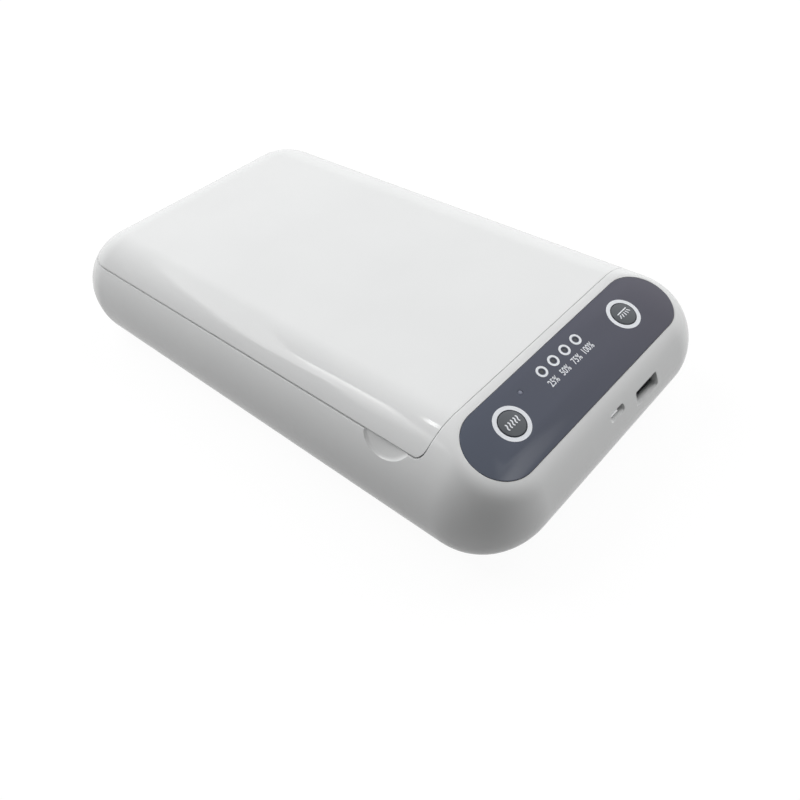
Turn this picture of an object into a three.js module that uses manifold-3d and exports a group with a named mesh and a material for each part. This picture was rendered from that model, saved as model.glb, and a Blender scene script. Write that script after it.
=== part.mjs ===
// UV sanitizer box for phones: a flat box with fully rounded edges, whose lid hinges up at the rear end.
// Millimetres. +Z is up, -Y is the front end with the key panel and the sockets, +X is the right side.
// The origin is on the surface that the box stands on, under the middle of the body.

import * as THREE from 'three';
import { mergeVertices } from 'three/addons/utils/BufferGeometryUtils.js';
import Module from 'manifold-3d';

const wasm = await Module();
wasm.setup();

// Body
const LENGTH = 226;
const WIDTH = 126;
const HEIGHT = 37.6;              // without the feet
const FOOT_STANDOFF = 1.2;        // how far the feet hold the body up
const PLAN_RADIUS = 24.3;         // corners seen from above, at the widest level
const WIDEST_LEVEL = 14.8;        // widest level, above the underside
const TOP_ROUND = 23;             // how far the rounded upper edge comes in
const SIDE_TUCK = 8;              // how far the rounded lower edge comes in at the sides
const END_TUCK = 10.8;            // and at the ends
const BOTTOM_RADIUS = 10.8;       // corners of the flat underside
const CORNER_STEPS = 7;
const TOP_STEPS = 9;
const BOTTOM_STEPS = 4;
const CASE_WALL = 2.4;
const GAP = 0.3;                  // between pieces that are fitted together

// Lid and its seam
const PARTING_LEVEL = 30.7;       // lid's lower edge, above the underside
const LID_FRONT = -80.9;          // lid's straight front edge
const LID_CORNER = 3;             // rounding of its lower front corners
const SEAM = 0.35;
const LID_WALL = 2.2;
const RIM = 2.2;                  // thickness of the case's rim under the lid

// Sloping key deck at the front
const DECK_TILT = THREE.MathUtils.degToRad(19.7);
const KEY_ROW_Y = -94;            // where the row of keys lies
const KEY_ROW_Z = 34.6;
const DECK_WALL = 3.4;
const PANEL_LEFT = -50.1;
const PANEL_RIGHT = 50.95;
const PANEL_BACK = 10.5;          // from the row of keys, up the slope
const PANEL_FRONT = -13.4;
const PANEL_BACK_RADIUS = 12.2;
const PANEL_FRONT_RADIUS = 11.4;
const PANEL_THICKNESS = 1.2;
const KEY_X = 30.8;               // keys to the left and right of the middle
const KEY_RADIUS = 4.3;
const KEY_HOLE_RADIUS = 4.55;
const KEY_CROWN = 0.35;
const KEY_RIM = 0.2;              // edge of the cap, above the panel
const KEY_FLANGE_RADIUS = 5.2;
const KEY_TRAVEL = 0.5;
const LAMP_ROW = 4.97;            // row of indicator lenses, up the slope
const LENS_PITCH = 6.14;
const LENS_RADIUS = 0.75;
const STATUS_X = -20.3;

// Sockets in the front end
const USB_A = { x: 16.7, z: 21.55, width: 12.5, height: 5.2, radius: 0.7 };
const MICRO_USB = { x: -0.3, z: 24.25, width: 7.2, height: 2.4, radius: 0.9 };
const SOCKET_FLARE = 0.15;

// Thumb scoops in the sides, under the lid's edge
const SCOOP_Y = -67;
const SCOOP_RADIUS = 10.25;
const SCOOP_RISE = 6.1;           // the circle's centre lies this far up the side from the seam
const SCOOP_DEPTH = 1.3;
const SCOOP_FILLET = 0.6;

// Phone well
const WELL_HALF_WIDTH = 48;
const WELL_FRONT = -69.5;
const WELL_REAR = 96.5;
const WELL_RADIUS = 14;
const WELL_FLOOR = 12;
const LEDGE = 17.7;               // the phone rest lies on this step
const LEDGE_WIDTH = 6;
const TRAY_WALL = 1.6;
const FLANGE = 4;
const FLANGE_THICKNESS = 1.2;
const REST_THICKNESS = 2;

// Hinges
const HINGE_Y = 107;
const HINGE_Z = 29.5;
const HINGE_X = 27;
const BARREL_RADIUS = 2.4;
const PIN_RADIUS = 1;
const PIN_HOLE_RADIUS = 1.25;
const LID_KNUCKLE = 10;           // width of the lid's knuckle
const CASE_KNUCKLE = 5;           // width of each of the case's knuckles beside it
const KNUCKLE_PLAY = 0.4;

// Underside
const COVER_HALF_WIDTH = 52.2;
const COVER_HALF_LENGTH = 99.2;
const COVER_RADIUS = 9;
const COVER_THICKNESS = 2.2;
const BOSS_X = 45;
const BOSS_Y = 92;
const FOOT_X = 36;
const FOOT_Y = 80;
const FOOT_RADIUS = 6;

// Lamps
const LAMP_RADIUS = 2;
const LAMP_PITCH = 14;            // between the two legs of the bent tube
const LAMP_FRONT = -52;
const LAMP_BEND = 72;

// Levels worked out from the above
const UNDERSIDE = FOOT_STANDOFF;
const WIDEST = UNDERSIDE + WIDEST_LEVEL;
const TOP = UNDERSIDE + HEIGHT;
const PARTING = UNDERSIDE + PARTING_LEVEL;
const COVER_TOP = UNDERSIDE + COVER_THICKNESS;
const CASE_FLOOR = COVER_TOP + GAP + 1.5;
const FAR = 200;                  // reaches past the body on every side

// Materials
function look(color, roughness, metalness = 0) {
  return new THREE.MeshStandardMaterial({ color, roughness, metalness });
}

const whiteGloss = look(0xe8e9e9, 0.22);
const whiteInner = look(0xe2e4e5, 0.4);
const smokedPanel = look(0x575b66, 0.15);
const keyGrey = look(0x5a5e62, 0.3);
const lensClear = look(0x4a4e55, 0.1);
const boardGreen = look(0x1f6b45, 0.5);
const steel = look(0xb9bbbd, 0.3, 1);
const zinc = look(0x9fa2a5, 0.35, 1);
const blackPlastic = look(0x232427, 0.45);
const rubber = look(0x3a3b3d, 0.85);
const quartz = look(0xdfe9f2, 0.05);
const ferrite = look(0x3d3b3a, 0.7);
const felt = look(0xd9d4c6, 0.95);

// Solids, joins and cuts

function solid(geometry) {
  const bare = geometry.clone();
  bare.deleteAttribute('normal');
  bare.deleteAttribute('uv');
  const merged = mergeVertices(bare, 1e-4);
  return new wasm.Manifold(new wasm.Mesh({
    numProp: 3,
    vertProperties: new Float32Array(merged.attributes.position.array),
    triVerts: new Uint32Array(merged.index.array),
  }));
}

function join(first, ...others) {
  return others.reduce((sum, other) => sum.add(other), first);
}

function cut(first, ...others) {
  return others.reduce((rest, other) => rest.subtract(other), first);
}

function mesh(name, shape, material) {
  const made = shape.getMesh();
  const geometry = new THREE.BufferGeometry();
  geometry.setAttribute('position', new THREE.BufferAttribute(new Float32Array(made.vertProperties), 3));
  geometry.setIndex(new THREE.BufferAttribute(new Uint32Array(made.triVerts), 1));
  geometry.computeVertexNormals();
  const piece = new THREE.Mesh(geometry, material);
  piece.name = name;
  return piece;
}

// Basic forms

function block(x0, x1, y0, y1, z0, z1) {
  const geometry = new THREE.BoxGeometry(x1 - x0, y1 - y0, z1 - z0);
  geometry.translate((x0 + x1) / 2, (y0 + y1) / 2, (z0 + z1) / 2);
  return geometry;
}

function rod(radius, z0, z1, x = 0, y = 0, sides = 16) {
  const geometry = new THREE.CylinderGeometry(radius, radius, z1 - z0, sides);
  geometry.rotateX(Math.PI / 2);
  geometry.translate(x, y, (z0 + z1) / 2);
  return geometry;
}

// Rod along X through the point (y, z).
function crossRod(radius, x0, x1, y, z, sides = 16) {
  const geometry = new THREE.CylinderGeometry(radius, radius, x1 - x0, sides);
  geometry.rotateZ(Math.PI / 2);
  geometry.translate((x0 + x1) / 2, y, z);
  return geometry;
}

// Turned form about Z; the profile is a list of [radius, z] that starts and ends on the axis.
function turned(profile, sides = 20) {
  const geometry = new THREE.LatheGeometry(profile.map(([r, z]) => new THREE.Vector2(r, z)), sides);
  geometry.rotateX(Math.PI / 2);
  return geometry;
}

// Rectangle with its own corner radius at the front (low y) and at the rear.
function roundedShape(x0, x1, y0, y1, frontRadius, rearRadius = frontRadius) {
  const shape = new THREE.Shape();
  shape.moveTo(x0 + frontRadius, y0);
  shape.lineTo(x1 - frontRadius, y0);
  shape.absarc(x1 - frontRadius, y0 + frontRadius, frontRadius, -Math.PI / 2, 0);
  shape.absarc(x1 - rearRadius, y1 - rearRadius, rearRadius, 0, Math.PI / 2);
  shape.absarc(x0 + rearRadius, y1 - rearRadius, rearRadius, Math.PI / 2, Math.PI);
  shape.absarc(x0 + frontRadius, y0 + frontRadius, frontRadius, Math.PI, 1.5 * Math.PI);
  return shape;
}

function extruded(shape, length, curveSegments = 3) {
  return new THREE.ExtrudeGeometry(shape, { depth: length, bevelEnabled: false, curveSegments });
}

// Plate between two levels, from an outline seen from above.
function plate(shape, z0, z1, curveSegments) {
  const geometry = extruded(shape, z1 - z0, curveSegments);
  geometry.translate(0, 0, z0);
  return geometry;
}

// Bar along X, from an outline in (y, z).
function barAcross(shape, x0, x1, curveSegments) {
  const geometry = extruded(shape, x1 - x0, curveSegments);
  const turn = new THREE.Matrix4().makeBasis(
    new THREE.Vector3(0, 1, 0), new THREE.Vector3(0, 0, 1), new THREE.Vector3(1, 0, 0));
  geometry.applyMatrix4(turn);
  geometry.translate(x0, 0, 0);
  return geometry;
}

// Closed skin over a stack of rings that all have the same number of points.
function loft(rings) {
  const count = rings[0].length;
  const position = rings.flat().flatMap((p) => [p.x, p.y, p.z]);
  const index = [];
  for (let level = 0; level + 1 < rings.length; level += 1) {
    for (let i = 0; i < count; i += 1) {
      const a = level * count + i;
      const b = level * count + (i + 1) % count;
      index.push(a, b, b + count, a, b + count, a + count);
    }
  }
  const last = (rings.length - 1) * count;
  for (let i = 1; i + 1 < count; i += 1) {
    index.push(0, i + 1, i, last, last + i, last + i + 1);
  }
  const geometry = new THREE.BufferGeometry();
  geometry.setAttribute('position', new THREE.Float32BufferAttribute(position, 3));
  geometry.setIndex(index);
  return geometry;
}

// Ring of points round a rounded rectangle in the plane z.
function ring(halfWidth, halfLength, radius, z, steps = CORNER_STEPS) {
  const points = [];
  const corners = [[1, 1, 0], [-1, 1, 0.5], [-1, -1, 1], [1, -1, 1.5]];
  for (const [sx, sy, start] of corners) {
    for (let i = 0; i <= steps; i += 1) {
      const angle = (start + 0.5 * i / steps) * Math.PI;
      const x = sx * (halfWidth - radius) + radius * Math.cos(angle);
      const y = sy * (halfLength - radius) + radius * Math.sin(angle);
      points.push(new THREE.Vector3(x, y, z));
    }
  }
  return points;
}

// The body's outer form, or the same form drawn in by a wall's thickness.
// Its section is a quarter ellipse from the widest level up to the flat top,
// and a narrower one down to the flat underside.
function body(inset = 0, topSteps = TOP_STEPS, bottomSteps = BOTTOM_STEPS) {
  const rings = [];
  const halfWidth = WIDTH / 2 - inset;
  const halfLength = LENGTH / 2 - inset;
  const radius = PLAN_RADIUS - inset;
  for (let i = bottomSteps; i > 0; i -= 1) {
    const angle = (i / bottomSteps) * Math.PI / 2;
    const share = 1 - Math.cos(angle);
    const z = WIDEST - (WIDEST_LEVEL - inset) * Math.sin(angle);
    rings.push(ring(
      halfWidth - (SIDE_TUCK - inset) * share,
      halfLength - (END_TUCK - inset) * share,
      radius - (radius - BOTTOM_RADIUS) * share, z));
  }
  for (let i = 0; i <= topSteps; i += 1) {
    const angle = (i / topSteps) * Math.PI / 2;
    const drawnIn = (TOP_ROUND - inset) * (1 - Math.cos(angle));
    const z = WIDEST + (TOP - WIDEST - inset) * Math.sin(angle);
    rings.push(ring(halfWidth - drawnIn, halfLength - drawnIn, radius - drawnIn, z));
  }
  return solid(loft(rings));
}

// How far the body's side comes in from its widest, at the level z.
function drawnInAt(z) {
  const share = (z - WIDEST) / (TOP - WIDEST);
  return TOP_ROUND * (1 - Math.sqrt(1 - share * share));
}

// Moves a form from the key deck's own frame (x across, y up the slope, z out of the deck) to the body's.
const deckPlace = new THREE.Matrix4()
  .makeTranslation(0, KEY_ROW_Y, KEY_ROW_Z)
  .multiply(new THREE.Matrix4().makeRotationX(DECK_TILT));

function onDeck(geometry) {
  return geometry.applyMatrix4(deckPlace);
}

// Everything above the deck's slope, or above a plane that lies deeper by the given depth.
function aboveDeck(depth = 0) {
  return solid(onDeck(block(-FAR, FAR, -FAR / 2, FAR / 2, -depth, FAR / 4)));
}

// Everything behind the lid's front edge and above its lower edge, drawn back by the given gap.
function lidSpace(gap) {
  const front = LID_FRONT + gap;
  const low = PARTING + gap;
  const corner = LID_CORNER - gap;
  const outline = new THREE.Shape();
  outline.moveTo(front + corner, low);
  outline.lineTo(FAR, low);
  outline.lineTo(FAR, FAR);
  outline.lineTo(front, FAR);
  outline.lineTo(front, low + corner);
  outline.absarc(front + corner, low + corner, corner, Math.PI, 1.5 * Math.PI);
  return solid(barAcross(outline, -FAR, FAR, 2));
}

// Case

const lensPlaces = [-1.5, -0.5, 0.5, 1.5].map((step) => step * LENS_PITCH);
const corners = [[-1, -1], [1, -1], [-1, 1], [1, 1]];
const cornerNames = ['front_left', 'front_right', 'rear_left', 'rear_right'];

function panelShape(margin = 0) {
  return roundedShape(
    PANEL_LEFT - margin, PANEL_RIGHT + margin, PANEL_FRONT - margin, PANEL_BACK + margin,
    PANEL_FRONT_RADIUS + margin, PANEL_BACK_RADIUS + margin);
}

// Funnel-mouthed hole through the front wall, along Y.
function socketHole({ x, z, width, height, radius }) {
  const outer = -LENGTH / 2 - 1;
  const throat = -LENGTH / 2 + drawnInAt(z) + 1.1;
  const inner = -LENGTH / 2 + 12;
  const section = (y, grow) => ring(width / 2 + grow, height / 2 + grow, radius + grow, 0, 5)
    .map((p) => new THREE.Vector3(x + p.x, y, z + p.y));
  const mouth = throat - SOCKET_FLARE - 0.4;
  return solid(loft([
    section(inner, 0), section(throat, 0), section(mouth, SOCKET_FLARE), section(outer, SOCKET_FLARE)]));
}

// Room behind a socket's hole for the mouth of its sleeve.
function sleeveRoom({ x, z }, width, height, mouth) {
  const section = (y) => ring(width / 2 + GAP, height / 2 + GAP, 1, 0, 4)
    .map((p) => new THREE.Vector3(x + p.x, y, z + p.y));
  return solid(loft([section(-LENGTH / 2 + 12), section(mouth - GAP)]));
}

// Dish-shaped cutter for a thumb scoop, square to the side a little below the seam.
function scoop(side) {
  const level = PARTING - 2;
  const lean = Math.asin((level - WIDEST) / (TOP - WIDEST));
  const fillet = [];
  for (let i = 0; i <= 3; i += 1) {
    const angle = (i / 3) * Math.PI / 2;
    fillet.push([
      SCOOP_RADIUS - SCOOP_FILLET + SCOOP_FILLET * Math.sin(angle),
      SCOOP_FILLET * (1 - Math.cos(angle)) - SCOOP_DEPTH,
    ]);
  }
  const dish = turned([
    [0, -SCOOP_DEPTH], ...fillet, [SCOOP_RADIUS + 0.4, 0], [SCOOP_RADIUS + 3, 8], [0, 8]], 28);
  dish.translate(0, SCOOP_RISE + 2, 0);
  dish.rotateZ(-Math.PI / 2);
  dish.rotateY(lean - Math.PI / 2);
  dish.translate(-(WIDTH / 2 - drawnInAt(level)), SCOOP_Y, level);
  if (side > 0) {
    dish.rotateZ(Math.PI);
    dish.translate(0, 2 * SCOOP_Y, 0);
  }
  return solid(dish);
}

function wellShape(grow) {
  return roundedShape(
    -WELL_HALF_WIDTH - grow, WELL_HALF_WIDTH + grow, WELL_FRONT - grow, WELL_REAR + grow, WELL_RADIUS + grow);
}

// Outline in (y, z) of the space that the lid's knuckle sweeps above its barrel.
function knuckleSweep() {
  const outline = new THREE.Shape();
  outline.moveTo(HINGE_Y - 4.9, PARTING + 1);
  outline.lineTo(HINGE_Y - BARREL_RADIUS - KNUCKLE_PLAY, HINGE_Z);
  outline.lineTo(HINGE_Y + 2, HINGE_Z - 0.4);
  outline.lineTo(HINGE_Y + 6, HINGE_Z - 0.4);
  outline.lineTo(HINGE_Y + 6, PARTING + 1);
  return outline;
}

function upperCase() {
  const outer = cut(body(), aboveDeck(), lidSpace(0));
  const underRim = solid(block(-FAR, FAR, -FAR, FAR, CASE_FLOOR, PARTING - RIM));
  const underDeck = solid(block(-FAR, FAR, -FAR, LID_FRONT - CASE_WALL, CASE_FLOOR, FAR));
  const cavity = cut(body(CASE_WALL, 5, 2).intersect(underRim.add(underDeck)), aboveDeck(DECK_WALL));
  let shell = cut(outer, cavity);

  // hinge blocks inside the rear shoulder, and screw bosses with their webs
  const filling = cut(body(1.2, 5, 2), aboveDeck(1.2), lidSpace(0));
  for (const side of [-1, 1]) {
    const reach = LID_KNUCKLE / 2 + KNUCKLE_PLAY + CASE_KNUCKLE;
    const centre = side * HINGE_X;
    const backing = solid(block(centre - reach, centre + reach, HINGE_Y - 4.6, FAR, HINGE_Z - 5, PARTING));
    shell = shell.add(backing.intersect(filling));
    shell = shell.add(solid(crossRod(BARREL_RADIUS, centre - reach, centre + reach, HINGE_Y, HINGE_Z)));
  }
  for (const [sx, sy] of corners) {
    const boss = solid(rod(3.2, CASE_FLOOR + 0.8, LEDGE - TRAY_WALL - 0.6, sx * BOSS_X, sy * BOSS_Y, 12));
    const web = block(-0.8, 0.8, 0, 16, CASE_FLOOR + 0.8, LEDGE - TRAY_WALL - 1.6);
    web.rotateZ(-sx * sy * Math.PI / 4 + (sy < 0 ? Math.PI : 0));
    web.translate(sx * BOSS_X, sy * BOSS_Y, 0);
    shell = join(shell, boss, solid(web).intersect(filling));
  }
  for (const x of [-BOARD_SCREW_X, BOARD_SCREW_X]) {
    const post = rod(2.2, KEY_BOARD_TOP + GAP, -DECK_WALL + 0.5, x, KEY_BOARD_SCREW_Y, 16);
    shell = shell.add(solid(onDeck(post)));
  }
  for (const x of [-MAGNET_X, MAGNET_X]) {
    shell = shell.add(solid(rod(3.7, PARTING - RIM - 2.2, PARTING - RIM + 0.3, x, MAGNET_Y, 12)));
  }

  const cutters = [
    solid(plate(wellShape(FLANGE + GAP), PARTING - FLANGE_THICKNESS - GAP, FAR)),
    solid(plate(wellShape(TRAY_WALL + 0.5), PARTING - RIM - 1, FAR)),
    solid(plate(coverShape(GAP), -1, COVER_TOP + GAP)),
    solid(plate(coverShape(-1.9), -1, CASE_FLOOR + 0.1)),
    solid(onDeck(plate(panelShape(GAP), -PANEL_THICKNESS - GAP, 5, 5))),
    socketHole(USB_A),
    sleeveRoom(USB_A, USB_SHELL_WIDTH, USB_SHELL_HEIGHT, USB_MOUTH),
    socketHole(MICRO_USB),
    sleeveRoom(MICRO_SHELL, MICRO_SHELL_WIDTH, MICRO_SHELL_HEIGHT, MICRO_MOUTH),
    scoop(-1),
    scoop(1),
  ];
  for (const x of [-KEY_X, KEY_X]) {
    cutters.push(solid(onDeck(rod(KEY_FLANGE_RADIUS + 0.5, -8, 0, x, 0))));
  }
  for (const x of [...lensPlaces, STATUS_X]) {
    cutters.push(solid(onDeck(rod(1.7, -8, 0, x, LAMP_ROW, 10))));
  }
  for (const x of [-BOARD_SCREW_X, BOARD_SCREW_X]) {
    cutters.push(solid(onDeck(rod(1.05, -8, -2.6, x, KEY_BOARD_SCREW_Y, 10))));
  }
  for (const [sx, sy] of corners) {
    cutters.push(solid(rod(1.5, 0, LEDGE - TRAY_WALL - 2.6, sx * BOSS_X, sy * BOSS_Y, 10)));
  }
  for (const x of [-MAGNET_X, MAGNET_X]) {
    cutters.push(solid(rod(MAGNET_RADIUS + GAP, 0, PARTING - RIM, x, MAGNET_Y, 12)));
  }
  for (const side of [-1, 1]) {
    const centre = side * HINGE_X;
    const half = LID_KNUCKLE / 2 + KNUCKLE_PLAY;
    const pinReach = half + CASE_KNUCKLE - 0.8;
    cutters.push(solid(crossRod(
      BARREL_RADIUS + KNUCKLE_PLAY, centre - half, centre + half, HINGE_Y, HINGE_Z, 20)));
    cutters.push(solid(barAcross(knuckleSweep(), centre - half, centre + half)));
    cutters.push(solid(crossRod(
      PIN_HOLE_RADIUS, centre - pinReach, centre + pinReach, HINGE_Y, HINGE_Z, 10)));
  }
  return mesh('upper_case', cut(shell, ...cutters), whiteGloss);
}

// Underside: cover, feet and screws

function coverShape(grow = 0) {
  const x = COVER_HALF_WIDTH + grow;
  const y = COVER_HALF_LENGTH + grow;
  return roundedShape(-x, x, -y, y, COVER_RADIUS + grow);
}

const SCREW_HEAD_SEAT = 3.6;
const BOARD_TOP = 22.1;
const BOARD_THICKNESS = 1.6;
const BOARD_POST_X = 28;
const BOARD_POST_Y = -90;
const DRIVER_Y = 40;
const DRIVER_LEVEL = 5;
const DRIVER_POSTS = [[-24, 26], [24, 26], [-24, 54], [24, 54]];

function bottomCover() {
  let cover = solid(plate(coverShape(), UNDERSIDE, COVER_TOP));
  const holes = [];
  for (const [sx, sy] of corners) {
    const x = sx * BOSS_X;
    const y = sy * BOSS_Y;
    cover = cover.add(solid(rod(3.9, UNDERSIDE, CASE_FLOOR + 0.5, x, y)));
    holes.push(solid(rod(3.2, 0, SCREW_HEAD_SEAT, x, y)), solid(rod(1.5, 0, CASE_FLOOR + 1, x, y, 10)));
    holes.push(solid(rod(FOOT_RADIUS + GAP, 0, UNDERSIDE + 0.9, sx * FOOT_X, sy * FOOT_Y, 20)));
  }
  for (const x of [-BOARD_POST_X, BOARD_POST_X]) {
    const top = BOARD_TOP - BOARD_THICKNESS - GAP;
    cover = cover.add(solid(rod(2.6, COVER_TOP - 0.2, top, x, BOARD_POST_Y, 12)));
    holes.push(solid(rod(1.1, BOARD_TOP - 9, BOARD_TOP, x, BOARD_POST_Y, 8)));
  }
  for (const [x, y] of DRIVER_POSTS) {
    cover = cover.add(solid(rod(2.4, COVER_TOP - 0.2, DRIVER_LEVEL, x, y, 8)));
  }
  return mesh('bottom_cover', cut(cover, ...holes), whiteInner);
}

function foot(name, x, y) {
  const top = UNDERSIDE + 0.6;
  const profile = [[0, 0], [FOOT_RADIUS - 0.6, 0], [FOOT_RADIUS, 0.6], [FOOT_RADIUS, top], [0, top]];
  const disc = turned(profile);
  disc.translate(x, y, 0);
  return mesh(name, solid(disc), rubber);
}

// Pan-head screw that points along +Z, with its head's underside at the seat.
function screw(name, { headRadius, headHeight, shankRadius, length }, material = zinc) {
  const profile = [
    [0, -headHeight], [headRadius * 0.8, -headHeight], [headRadius, 0],
    [shankRadius, 0], [shankRadius, length], [0, length]];
  return mesh(name, solid(turned(profile, 10)), material);
}

const coverScrew = { headRadius: 2.8, headHeight: 1.5, shankRadius: 1.15, length: 9 };
const boardScrew = { headRadius: 1.9, headHeight: 1.1, shankRadius: 0.75, length: 4.5 };

function coverScrews() {
  return corners.map(([sx, sy], i) => {
    const made = screw(`cover_screw_${cornerNames[i]}`, coverScrew);
    made.position.set(sx * BOSS_X, sy * BOSS_Y, SCREW_HEAD_SEAT - GAP);
    return made;
  });
}

// Phone well: tray, rest, lower lamp and scent cup

function chamberTray() {
  const lower = (grow) => roundedShape(
    -WELL_HALF_WIDTH + LEDGE_WIDTH - grow, WELL_HALF_WIDTH - LEDGE_WIDTH + grow,
    WELL_FRONT + LEDGE_WIDTH - grow, WELL_REAR - LEDGE_WIDTH + grow, WELL_RADIUS - 4 + grow);
  const top = PARTING;
  const outside = join(
    solid(plate(wellShape(FLANGE), top - FLANGE_THICKNESS, top)),
    solid(plate(wellShape(TRAY_WALL), LEDGE - TRAY_WALL, top)),
    solid(plate(lower(TRAY_WALL), WELL_FLOOR - TRAY_WALL, LEDGE)));
  return mesh('chamber_tray', cut(outside,
    solid(plate(wellShape(0), LEDGE, FAR)),
    solid(plate(lower(0), WELL_FLOOR, FAR))), whiteInner);
}

const REST_COLUMNS = 2;
const REST_ROWS = 9;
const REST_BAR = 3;
const REST_MARGIN = 8;
const CUP_X = 25;
const CUP_Y = -52;
const CUP_RADIUS = 7;

// Open grille that carries the phone above the lower lamp.
function phoneRest() {
  const z0 = LEDGE + GAP;
  const z1 = z0 + REST_THICKNESS;
  let rest = solid(plate(wellShape(-0.6), z0, z1));
  const x0 = -WELL_HALF_WIDTH + REST_MARGIN;
  const y0 = CUP_Y + CUP_RADIUS + 5;
  const wide = (-2 * x0 + REST_BAR) / REST_COLUMNS;
  const deep = (WELL_REAR - REST_MARGIN - y0 + REST_BAR) / REST_ROWS;
  for (let column = 0; column < REST_COLUMNS; column += 1) {
    for (let row = 0; row < REST_ROWS; row += 1) {
      const x = x0 + column * wide;
      const y = y0 + row * deep;
      rest = rest.subtract(solid(block(x, x + wide - REST_BAR, y, y + deep - REST_BAR, z0 - 1, z1 + 1)));
    }
  }
  rest = rest.subtract(solid(rod(CUP_RADIUS + 0.4, z0 - 1, z1 + 1, CUP_X, CUP_Y, 20)));
  return mesh('phone_rest', rest, whiteInner);
}

function scentCup() {
  const z0 = WELL_FLOOR + GAP;
  const z1 = LEDGE + GAP + REST_THICKNESS;
  const hollow = CUP_RADIUS - 1;
  const cup = turned([
    [0, z0], [CUP_RADIUS, z0], [CUP_RADIUS, z1], [hollow, z1], [hollow, z0 + 1.2], [0, z0 + 1.2]]);
  cup.translate(CUP_X, CUP_Y, 0);
  return mesh('aroma_cup', solid(cup), whiteInner);
}

function scentPad() {
  const z0 = WELL_FLOOR + 1.2 + 2 * GAP;
  return mesh('aroma_pad', solid(rod(CUP_RADIUS - 1 - GAP, z0, z0 + 4, CUP_X, CUP_Y, 20)), felt);
}

// Bent tube in a level plane: two legs along Y joined by a half circle.
function lampTube(z) {
  const rings = [];
  const sides = 10;
  const bendRadius = LAMP_PITCH / 2;
  const sectionAt = (centre, heading) => {
    const across = new THREE.Vector3(-Math.sin(heading), Math.cos(heading), 0);
    return Array.from({ length: sides }, (_, i) => {
      const angle = (2 * Math.PI * i) / sides;
      return centre.clone()
        .addScaledVector(across, LAMP_RADIUS * Math.cos(angle))
        .add(new THREE.Vector3(0, 0, LAMP_RADIUS * Math.sin(angle)));
    });
  };
  rings.push(sectionAt(new THREE.Vector3(bendRadius, LAMP_FRONT, z), Math.PI / 2));
  for (let i = 0; i <= 8; i += 1) {
    const turn = (i / 8) * Math.PI;
    const centre = new THREE.Vector3(bendRadius * Math.cos(turn), LAMP_BEND + bendRadius * Math.sin(turn), z);
    rings.push(sectionAt(centre, turn + Math.PI / 2));
  }
  rings.push(sectionAt(new THREE.Vector3(-bendRadius, LAMP_FRONT, z), 1.5 * Math.PI));
  return solid(loft(rings));
}

// Holder that both ends of a lamp plug into.
function lampSocket(z, z0, z1) {
  const holder = solid(block(-13, 13, LAMP_FRONT - 4, LAMP_FRONT + 6, z0, z1));
  const holes = [-1, 1].map((side) => {
    const hole = new THREE.CylinderGeometry(LAMP_RADIUS + GAP, LAMP_RADIUS + GAP, 8, 12);
    hole.translate(side * LAMP_PITCH / 2, LAMP_FRONT - GAP + 4, z);
    return solid(hole);
  });
  return cut(holder, ...holes);
}

// Saddle with two open grooves that the lamp's legs snap into; the grooves face +Z or -Z.
function lampClip(z, z0, z1, facing) {
  const clipY = LAMP_BEND - 14;
  const saddle = solid(block(-11, 11, clipY - 2.5, clipY + 2.5, z0, z1));
  const grooves = [];
  for (const side of [-1, 1]) {
    const x = side * LAMP_PITCH / 2;
    const groove = new THREE.CylinderGeometry(LAMP_RADIUS + GAP, LAMP_RADIUS + GAP, 8, 12);
    groove.translate(x, clipY, z);
    grooves.push(solid(groove));
    const reach = facing > 0 ? [z, z1 + 2] : [z0 - 2, z];
    grooves.push(solid(block(x - 1.6, x + 1.6, clipY - 4, clipY + 4, ...reach)));
  }
  return cut(saddle, ...grooves);
}

const LOWER_LAMP_Z = 15;
const UPPER_LAMP_Z = 32.2;

function lowerLamp() {
  const floor = WELL_FLOOR + GAP;
  return [
    mesh('lower_uv_lamp', lampTube(LOWER_LAMP_Z), quartz),
    mesh('lower_lamp_socket', lampSocket(LOWER_LAMP_Z, floor, LEDGE), blackPlastic),
    mesh('lower_lamp_clip', lampClip(LOWER_LAMP_Z, floor, LOWER_LAMP_Z + 1.2, 1), whiteInner),
  ];
}

// Key panel, keys and their board, in the deck's own frame

const KEY_BOARD_TOP = -5.3;
const KEY_BOARD_THICKNESS = 1;
const KEY_BOARD_SCREW_Y = -3.5;
const BOARD_SCREW_X = 19;
const SWITCH_HEIGHT = 1.6;
const KEY_FLANGE_TOP = -PANEL_THICKNESS - GAP;
const KEY_FLANGE_BOTTOM = KEY_FLANGE_TOP - 0.7;
const KEY_STEM_BOTTOM = KEY_BOARD_TOP + SWITCH_HEIGHT + 0.5 + KEY_TRAVEL;

function controlPanel() {
  const holes = [];
  for (const x of [-KEY_X, KEY_X]) {
    holes.push(solid(rod(KEY_HOLE_RADIUS, -3, 1, x, 0, 24)));
  }
  for (const x of [...lensPlaces, STATUS_X]) {
    holes.push(solid(rod(LENS_RADIUS + 0.25, -3, 1, x, LAMP_ROW, 12)));
  }
  const slab = solid(plate(panelShape(), -PANEL_THICKNESS, 0, 5));
  return mesh('control_panel', cut(slab, ...holes), smokedPanel);
}

// Key with a crowned cap, a flange that holds it under the panel, and a stem over its switch.
function key(name, x) {
  const crown = [];
  for (let i = 0; i <= 3; i += 1) {
    const r = KEY_RADIUS * (1 - i / 3);
    crown.push([r, KEY_CROWN * (1 - (r / KEY_RADIUS) ** 2) + KEY_RIM]);
  }
  const profile = [
    [0, KEY_STEM_BOTTOM], [1.5, KEY_STEM_BOTTOM], [1.5, KEY_FLANGE_BOTTOM],
    [KEY_FLANGE_RADIUS, KEY_FLANGE_BOTTOM], [KEY_FLANGE_RADIUS, KEY_FLANGE_TOP],
    [KEY_RADIUS, KEY_FLANGE_TOP], ...crown];
  const made = mesh(name, solid(turned(profile, 24)), keyGrey);
  made.position.x = x;
  return made;
}

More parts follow.
